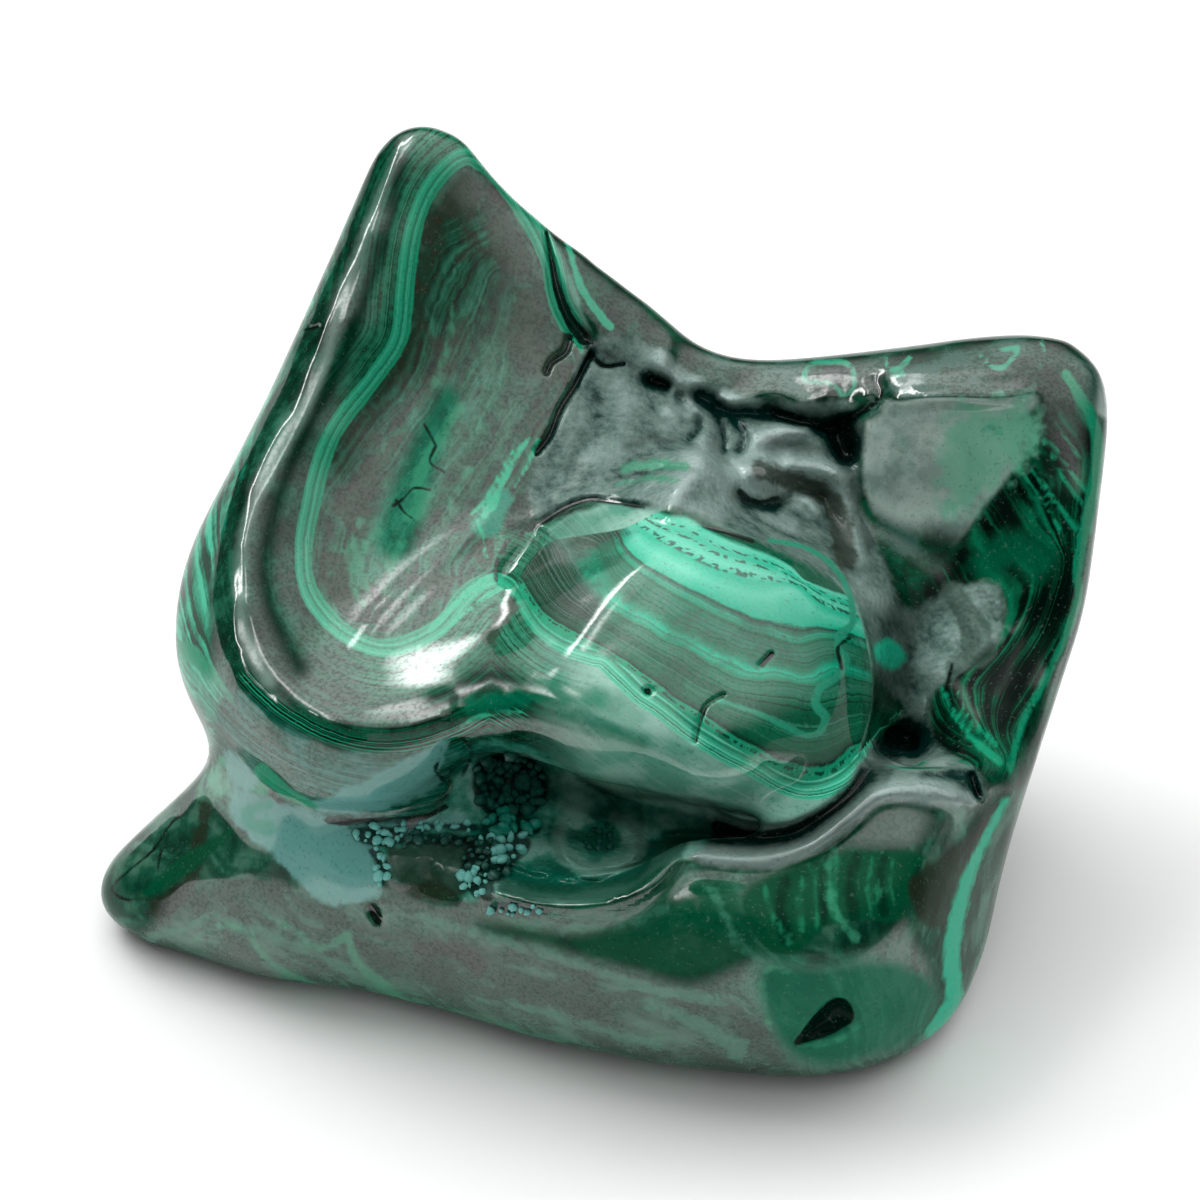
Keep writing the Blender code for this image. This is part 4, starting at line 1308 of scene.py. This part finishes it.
def outer_paint(g, t):
    """Mint at the main band, then finer and darker lines out to the rim, and a painted sheen, pale,
    on the lobe's lower flank.
    """
    lines = g.stripes(t.band, 0.20, 2) * 0.7 + t.fleck * 0.3
    bright = t.three(lines, FOREST, LEAF, JADE, 0.42, 0.60)
    dim = t.three(lines * 0.6 + t.mottle * 0.4, DEEP, FOREST, GREEN, 0.42, 0.60)
    side = t.three(t.mottle * 0.75 + lines * 0.25, DEEP, FOREST, paint_of(36, 108, 84), 0.36, 0.66)
    under_neck = g.mix(bright, dim, (t.band + t.drift * 10).rise(34, 66))
    left = 1 - (t.across + t.drift * 0.002).rise(-0.030, -0.018)
    slab = t.three(t.mottle, DEEP, FOREST, GREEN, 0.36, 0.62)
    outer = g.mix(under_neck, side, left)
    on_lobe = (t.across + t.drift * 0.001).rise(-0.008, 0.002)
    # painted sheen: the lobe's lower flank is painted pale, standing for the light and grey reflection that
    # its down-facing surface misses
    below = t.three(
        lines * 0.3 + t.cloud * 0.7,
        paint_of(92, 158, 136), paint_of(122, 176, 158), paint_of(140, 190, 172), 0.36, 0.66,
    )
    outer = g.mix(outer, below, on_lobe)
    outer = g.mix(slab, outer, t.inside("skirt", 3, 3))
    pale = 0.35 + on_lobe * 0.6
    edge = g.mix(MINT, PALE_MINT, g.stripes(t.band, 0.5, 2).rise(0.40, 0.60) * pale)
    edge = g.mix(edge, LEAF, (t.band - 3.5).size().rise(2.0, 0.6) * 0.8)
    edge = g.mix(edge, GREEN, (t.band - 14).size().rise(1.4, 0.4) * on_lobe * 0.7)
    half = 6 + on_lobe * 3.5
    return g.mix(outer, edge, ((t.band - half).size() - half).rise(1.5, -1.0))


# %% paint inside the dish


def dish_paint(g, t):
    """Brown-grey at the top, greener and full of wisps lower down."""
    depth = g.stored("band")
    flow = g.stripes(g.stored("eddy") * 0.1 + t.fray * 0.35 + t.drift, 1.0, 2)
    low = 1 - g.axis("Z").rise(0.040, 0.062)
    brown_green, worn_green = paint_of(28, 62, 46), paint_of(66, 106, 88)
    upper = t.three(t.mottle * 0.6 + t.streaks * 0.4, BROWN, brown_green, worn_green, 0.38, 0.62)
    lower = t.three(flow * 0.6 + t.streaks * 0.4, DEEP, GREEN, JADE, 0.40, 0.62)
    dish = g.mix(upper, lower, low * 0.75 + t.inside("murk", 22, 14) * 0.75)
    dish = g.mix(dish, BROWN, t.cloud.rise(0.50, 0.60) * depth.rise(8, 16) * (1 - depth.rise(50, 70)) * 0.7)
    ring = g.mix(MINT, PALE_MINT, g.stripes(depth + t.fray, 0.6, 2).rise(0.5, 0.62) * 0.3)
    ring = g.mix(ring, LEAF, (depth - 2.5 + t.fray).size().rise(1.8, 0.6) * 0.6)
    return g.mix(ring, dish, (depth + t.fray * 1.6 + t.drift * 3).rise(4, 6.5))


# %% paint on the lobe


def lobe_paint(g, t):
    """Nine tenths of the bands follow the lobe's own ages, from the main band up to the bright top."""
    age = g.stored("lobe_age") + t.fray * 0.10 + t.drift * 0.12
    base = g.ramp(
        age * 0.1,
        stops(10, (0, MINT), (0.36, MINT), (0.44, DEEP), (0.6, GREEN), (1.3, LEAF), (1.9, GREEN), (2.6, LEAF),
              (2.9, JADE), (3.2, LEAF), (3.6, GLOWING), (3.9, LEAF), (4.5, JADE), (5.2, LEAF), (5.5, GLOWING),
              (5.8, JADE), (5.95, FOREST), (6.1, GLOWING), (7.0, PALE_MINT), (7.7, GLOWING),
              (8.3, PALE_MINT), (9.0, GLOWING), (9.7, PALE_MINT), (10, GREEN)),
    )
    hair = g.stripes(age, 6.0, 3)
    lower = 1 - age.rise(5.9, 6.2)
    lobe = g.mix(base, DEEP, hair.rise(0.54, 0.66) * age.rise(0.5, 0.9) * lower * 0.6)
    lobe = g.mix(lobe, JADE, g.stripes(age + 9, 5.0, 2).rise(0.54, 0.66) * age.rise(0.6, 1.2) * lower * 0.75)
    lobe = g.mix(lobe, FOREST, t.mottle.rise(0.52, 0.66) * lower * 0.4)
    teeth = g.noise(1700, 0).rise(0.46, 0.56)
    rows = (age - 8.0).size().rise(0.30, 0.10)
    rows = rows.over((age - 8.75).size().rise(0.16, 0.05)).over((age - 9.25).size().rise(0.12, 0.03))
    lobe = g.mix(lobe, paint_of(0, 84, 62), rows * teeth * 0.9)
    lobe = g.mix(lobe, t.three(hair, DEEP, BROWN, GREY), t.inside("lobe_cap", 10, 8) * 0.8)
    return g.mix(lobe, DEEP, (age - 0.20).size().rise(0.10, 0.03) * t.fleck.rise(0.44, 0.54) * 0.8)


# %% paint on the rims, the right face and the foot


def rim_paint(g, t):
    lines = g.stripes(t.band + t.drift * 6, 0.14, 2) * 0.6 + t.mottle * 0.4
    return t.three(lines, FOREST, paint_of(8, 136, 104), paint_of(70, 196, 158), 0.42, 0.62)


def lip_paint(g, t):
    lines = t.mottle * 0.6 + g.stripes(t.band, 0.25, 2) * 0.4
    return t.three(lines, FOREST, paint_of(4, 92, 72), paint_of(72, 140, 126), 0.40, 0.66)


def under_rim_paint(g, t):
    return t.three(g.stripes(t.band, 0.5, 2), DEEP, FOREST, MINT, 0.42, 0.66)


def face_paint(g, t):
    age = g.stored("face_age") + t.fray * 0.12 + t.drift * 0.6
    lines = g.stripes(age, 1.4, 2)
    return t.three(lines * 0.75 + t.cloud * 0.25, INK, paint_of(2, 38, 24), paint_of(6, 112, 78), 0.42, 0.66)


def foot_paint(g, t):
    age = g.stored("foot_age") + t.fray * 0.12 + t.drift * 0.6
    lines = g.stripes(age, 1.5, 2)
    body = t.cloud * 0.40 + lines * 0.35 + t.fleck * 0.25
    plain = t.three(body, paint_of(6, 54, 38), paint_of(24, 84, 63), paint_of(88, 156, 130), 0.38, 0.66)
    return g.mix(plain, BROWN, t.mottle.rise(0.44, 0.68) * 0.5)


def shoulder_paint_with_painted_sheen(g, t):
    # painted reflection: pale grey stands for the white ceiling mirrored on the steeper parts of the
    # shoulder, and dark green is kept where the surface faces up
    grey = t.three(t.mottle, paint_of(136, 160, 152), paint_of(164, 186, 178), paint_of(184, 204, 196))
    top = t.three(t.mottle, DEEP, FOREST, paint_of(50, 92, 80), 0.36, 0.62)
    up = g.axis("Z", g.node("ShaderNodeNewGeometry", {}, {}, "Normal"))
    return g.mix(grey, top, up.rise(0.25, 0.60))


# %% paint in the natural ground


def ground_paint_with_painted_shade(g, t):
    """By the relief's height: painted shade, green-black, in the recesses, grey where the wheel
    brushed it, and a painted sheen, pale, on the bosses.
    """
    height = g.stored("relief") * 0.30 + 0.5 + (t.fleck - 0.5) * 0.4 + (t.cloud - 0.5) * 0.15
    return t.three(height, paint_of(2, 44, 38), paint_of(92, 118, 110), paint_of(142, 164, 158), 0.34, 0.76)


def cave_paint_with_painted_shade(g, t):
    # painted shade in the recesses and painted sheen on the bosses, by the relief's height, and all of it
    # painted lighter to make up for the shade under the lobe
    height = g.stored("relief") * 0.25 + 0.5 + (t.mottle - 0.5) * 1.1
    return t.three(height, paint_of(8, 98, 78), paint_of(58, 140, 116), paint_of(130, 186, 170), 0.34, 0.74)


# %% paint on the sides and the back


def back_paint(g, t):
    """Round growths cut through, by their own ages."""
    age = g.stored("bud_age") * 0.25 + t.drift * 0.8 + t.fray * 0.10
    rings = g.ramp(
        g.stripes(age, 1.2, 2),
        [(0.30, INK), (0.40, FOREST), (0.47, DEEP), (0.52, GREEN), (0.56, FOREST), (0.60, LEAF),
         (0.66, MINT)],
    )
    return g.mix(rings, FOREST, t.mottle.rise(0.48, 0.62) * 0.6)


# %% the polished malachite
PLACED = (  # layer, paint, softness and unrest of its edge in pixels, strength
    ("deep_belly", paint_of(2, 80, 52), 14, 9, 0.8),
    ("flow_dark", paint_of(3, 50, 34), 8, 14, 0.65),
    ("flow_light", paint_of(66, 140, 112), 4, 10, 0.55),
    # painted sheen along the left rim's crest
    ("painted_rim_sheen", paint_of(120, 150, 138), 6, 3, 0.65),
    ("moss", paint_of(108, 190, 156), 14, 26, 0.75),
    ("base_moss", paint_of(34, 120, 92), 8, 12, 0.65),
    ("slate", paint_of(60, 84, 74), 3, 4, 0.8),
    ("brown", paint_of(36, 42, 28), 4, 7, 0.8),
    ("window", paint_of(2, 76, 48), 2.5, 3, 0.92),
    ("window_dark", paint_of(0, 44, 28), 4, 4, 0.85),
    ("window_light", paint_of(34, 136, 96), 2.5, 3, 0.7),
    ("face_glow", paint_of(0, 96, 66), 12, 8, 0.8),
    ("face_strip", paint_of(16, 150, 110), 2, 2.5, 0.9),
    ("edge_strip", paint_of(24, 190, 150), 3, 4, 0.95),
    ("core", paint_of(40, 124, 98), 14, 16, 0.5),
    ("neck", paint_of(0, 116, 84), 7, 9, 0.65),
    ("crescent", paint_of(24, 82, 62), 4, 4, 0.85),
    ("eye", paint_of(112, 160, 144), 4, 4, 0.75),
    ("eye_core", paint_of(24, 118, 90), 3, 6, 0.85),
    ("dark_stripe", DEEP, 6, 4, 0.85),
    ("bloom", TURQUOISE, 3.5, 7, 0.85),
    ("teal_glow", paint_of(0, 140, 112), 4, 4, 0.9),
    ("mint_spot", paint_of(40, 250, 200), 5, 4, 1.0),
    ("wisps", paint_of(56, 148, 112), 3, 6, 0.7),
    ("fresh_mint", paint_of(36, 184, 140), 1.5, 3, 0.9),
    ("collar", paint_of(44, 158, 124), 1.5, 2, 0.9),
    ("shade", INK, 9, 5, 0.55),
    # painted shade between the beads of the crust
    ("shade_between_beads", INK, 2.5, 4, 0.85),
    # cracks, with painted shade in pits and under the lobe
    ("crack", INK, 1.2, 1.8, 0.95),
)
ZONE_PAINTS = (  # zone, its paint, softness and unrest of its edge in pixels
    ("dish", dish_paint, 0.8, 0),
    ("lobe", lobe_paint, 0.8, 0),
    ("outer_rim", rim_paint, 5, 5),
    ("lip", lip_paint, 3, 3),
    ("rim_lines", under_rim_paint, 3, 3),
    ("shoulder", shoulder_paint_with_painted_sheen, 4, 4),
    ("right_face", face_paint, 4, 4),
    ("foot", foot_paint, 3, 4),
    ("hollow", ground_paint_with_painted_shade, 5, 6),
    ("cavity", cave_paint_with_painted_shade, 4, 5),
)


def polished_malachite():
    g = Graph(bpy.data.materials.new("polished malachite"))
    t = Textures(g)
    paint = outer_paint(g, t)
    for zone, painted, soft, wobble in ZONE_PAINTS:
        paint = g.mix(paint, painted(g, t), t.inside(zone, soft, wobble))
    for layer, colour, soft, wobble, strength in PLACED:
        paint = g.mix(paint, colour, t.inside(layer, soft, wobble) * strength)
    paint = g.mix(back_paint(g, t), paint, g.stored("drawn"))
    paint = g.mix(paint, INK, t.grain.rise(0.60, 0.74) * 0.30)
    paint = g.mix(paint, PALE_GREY, t.grain.rise(0.38, 0.24) * 0.14)
    g.plug(g.shader.inputs["Base Color"], paint)

    # the gloss is a coat on high ground, and the natural ground is satin
    rough = g.stored("wild")
    edge_on = g.node("ShaderNodeLayerWeight", {}, {"Blend": 0.5}, "Facing").rise(0.50, 0.85)
    coat = (1 - rough * 0.80 * (1 - t.inside("shine", 5, 0) * 0.9)) * (1 - t.inside("matt", 10, 0) * 0.96)
    coat = coat * (1 - edge_on * 0.95) * (0.6 + t.grain.rise(0.30, 0.56) * 0.4)
    g.plug(g.shader.inputs["Coat Weight"], coat)
    g.plug(g.shader.inputs["Roughness"], 0.14 + t.streaks * 0.08 + rough * (0.16 + t.grain * 0.22))
    g.plug(g.shader.inputs["Metallic"], rough * 0.22)
    g.shader.inputs["IOR"].default_value = 1.09
    g.shader.inputs["Coat IOR"].default_value = 1.82
    g.shader.inputs["Coat Roughness"].default_value = 0.06
    pores = g.noise(2000, 0) * (0.05 + rough * 0.95)
    bump = g.node("ShaderNodeBump", {}, {"Strength": 0.5, "Distance": 0.00018, "Height": pores}, "Normal")
    g.plug(g.shader.inputs["Normal"], bump)
    return g.owner


skin.data.materials.clear()
skin.data.materials.append(polished_malachite())
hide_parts("malachite")
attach(skin, "root")
print("polish nodes:", len(skin.data.materials[0].node_tree.nodes))

# %% [markdown]
# ## The crust of small crystals
# In the cavity under the lobe the last copper water left beads of turquoise and black-green grains,
# half a millimetre to a millimetre across. One bead of each colour is modelled, and copies are set on
# the skin along the sight lines through their marks.

# %% one sight line for each grain
TINT = {"black": 0.15, "teal": 0.55, "turquoise": 0.95}


def grain_places(tree, chance):
    """Sight lines through a shaken grid in each ring, met with the skin: kind, place, normal, size."""
    eye = Vector(camera.location)
    places = []
    for kind, spacing, size, ring in GRAINS:
        low, high = np.min(ring, axis=0), np.max(ring, axis=0)
        columns, rows = np.arange(low[0], high[0], spacing), np.arange(low[1], high[1], spacing)
        grid = np.stack(np.meshgrid(columns, rows), -1)
        spots = grid.reshape(-1, 2) + chance.uniform(-0.4, 0.4, (grid[..., 0].size, 2)) * spacing
        for x, y in spots[within(ring, spots) > 0]:
            aim = PLANE_CENTRE + ACROSS * (x - 600) * PIXEL - UPWARD * (y - 600) * PIXEL
            hit, normal, _, _ = tree.ray_cast(eye, (Vector(aim) - eye).normalized())
            if hit is not None:
                places.append((kind, hit, normal, size * PIXEL * chance.uniform(0.5, 1.35)))
    return places


def grain_of(kind):
    """One rounded bead, a unit across, with its tint."""
    bpy.ops.object.select_all(action="DESELECT")
    bpy.ops.mesh.primitive_uv_sphere_add(segments=8, ring_count=6, radius=0.5)
    bead = bpy.context.active_object
    bpy.ops.object.shade_smooth()
    for corner in bead.data.vertices:
        corner.co *= 1 + 0.45 * noise.noise(corner.co * 4 + Vector((0, 0, 3 * TINT[kind])))
    layer = bead.data.attributes.new("tint", "FLOAT", "POINT")
    layer.data.foreach_set("value", np.full(len(bead.data.vertices), TINT[kind], np.float32))
    return bead


# %% set the grains and join them
chance = np.random.default_rng(11)
places = grain_places(BVHTree.FromObject(skin, bpy.context.evaluated_depsgraph_get()), chance)
beads = {kind: grain_of(kind) for kind in TINT}
copies = []
for kind, place, normal, size in places:
    copy = beads[kind].copy()
    bpy.context.scene.collection.objects.link(copy)
    copy.location = place + normal * size * 0.25
    copy.rotation_euler = chance.uniform(0, 6.28, 3)
    copy.scale = size * chance.uniform(0.6, 1.25, 3)
    copies.append(copy)
for bead in beads.values():
    bpy.data.objects.remove(bead)
bpy.ops.object.select_all(action="DESELECT")
for copy in copies:
    copy.select_set(True)
bpy.context.view_layer.objects.active = copies[0]
bpy.ops.object.make_single_user(type="SELECTED_OBJECTS", object=True, obdata=True)
bpy.ops.object.join()
druse = bpy.context.active_object
druse.name = "crystal_crust"
bpy.ops.object.transform_apply(location=True, rotation=True, scale=True)
print("grains:", len(places), "with", triangles_of(druse), "triangles")

# %% the crust's material


def sugary_crust():
    """Black-green, teal and turquoise by the bead's tint, dull, with a little glitter."""
    g = Graph(bpy.data.materials.new("sugary crust"))
    tint = g.attribute("tint") + (g.noise(900, 2) - 0.5) * 0.5
    black_green, dim, teal, turquoise = (4, 50, 42), (30, 100, 84), (10, 128, 108), (104, 182, 172)
    colours = ((0.0, black_green), (0.35, dim), (0.55, teal), (0.9, turquoise))
    paint = g.ramp(tint, [(place, paint_of(*colour)) for place, colour in colours])
    g.plug(g.shader.inputs["Base Color"], paint)
    g.plug(g.shader.inputs["Roughness"], 0.28 + g.noise(3000, 1) * 0.4)
    g.shader.inputs["IOR"].default_value = 1.6
    return g.owner


druse.data.materials.clear()
druse.data.materials.append(sugary_crust())
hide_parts("druse_crust")
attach(druse, "root")
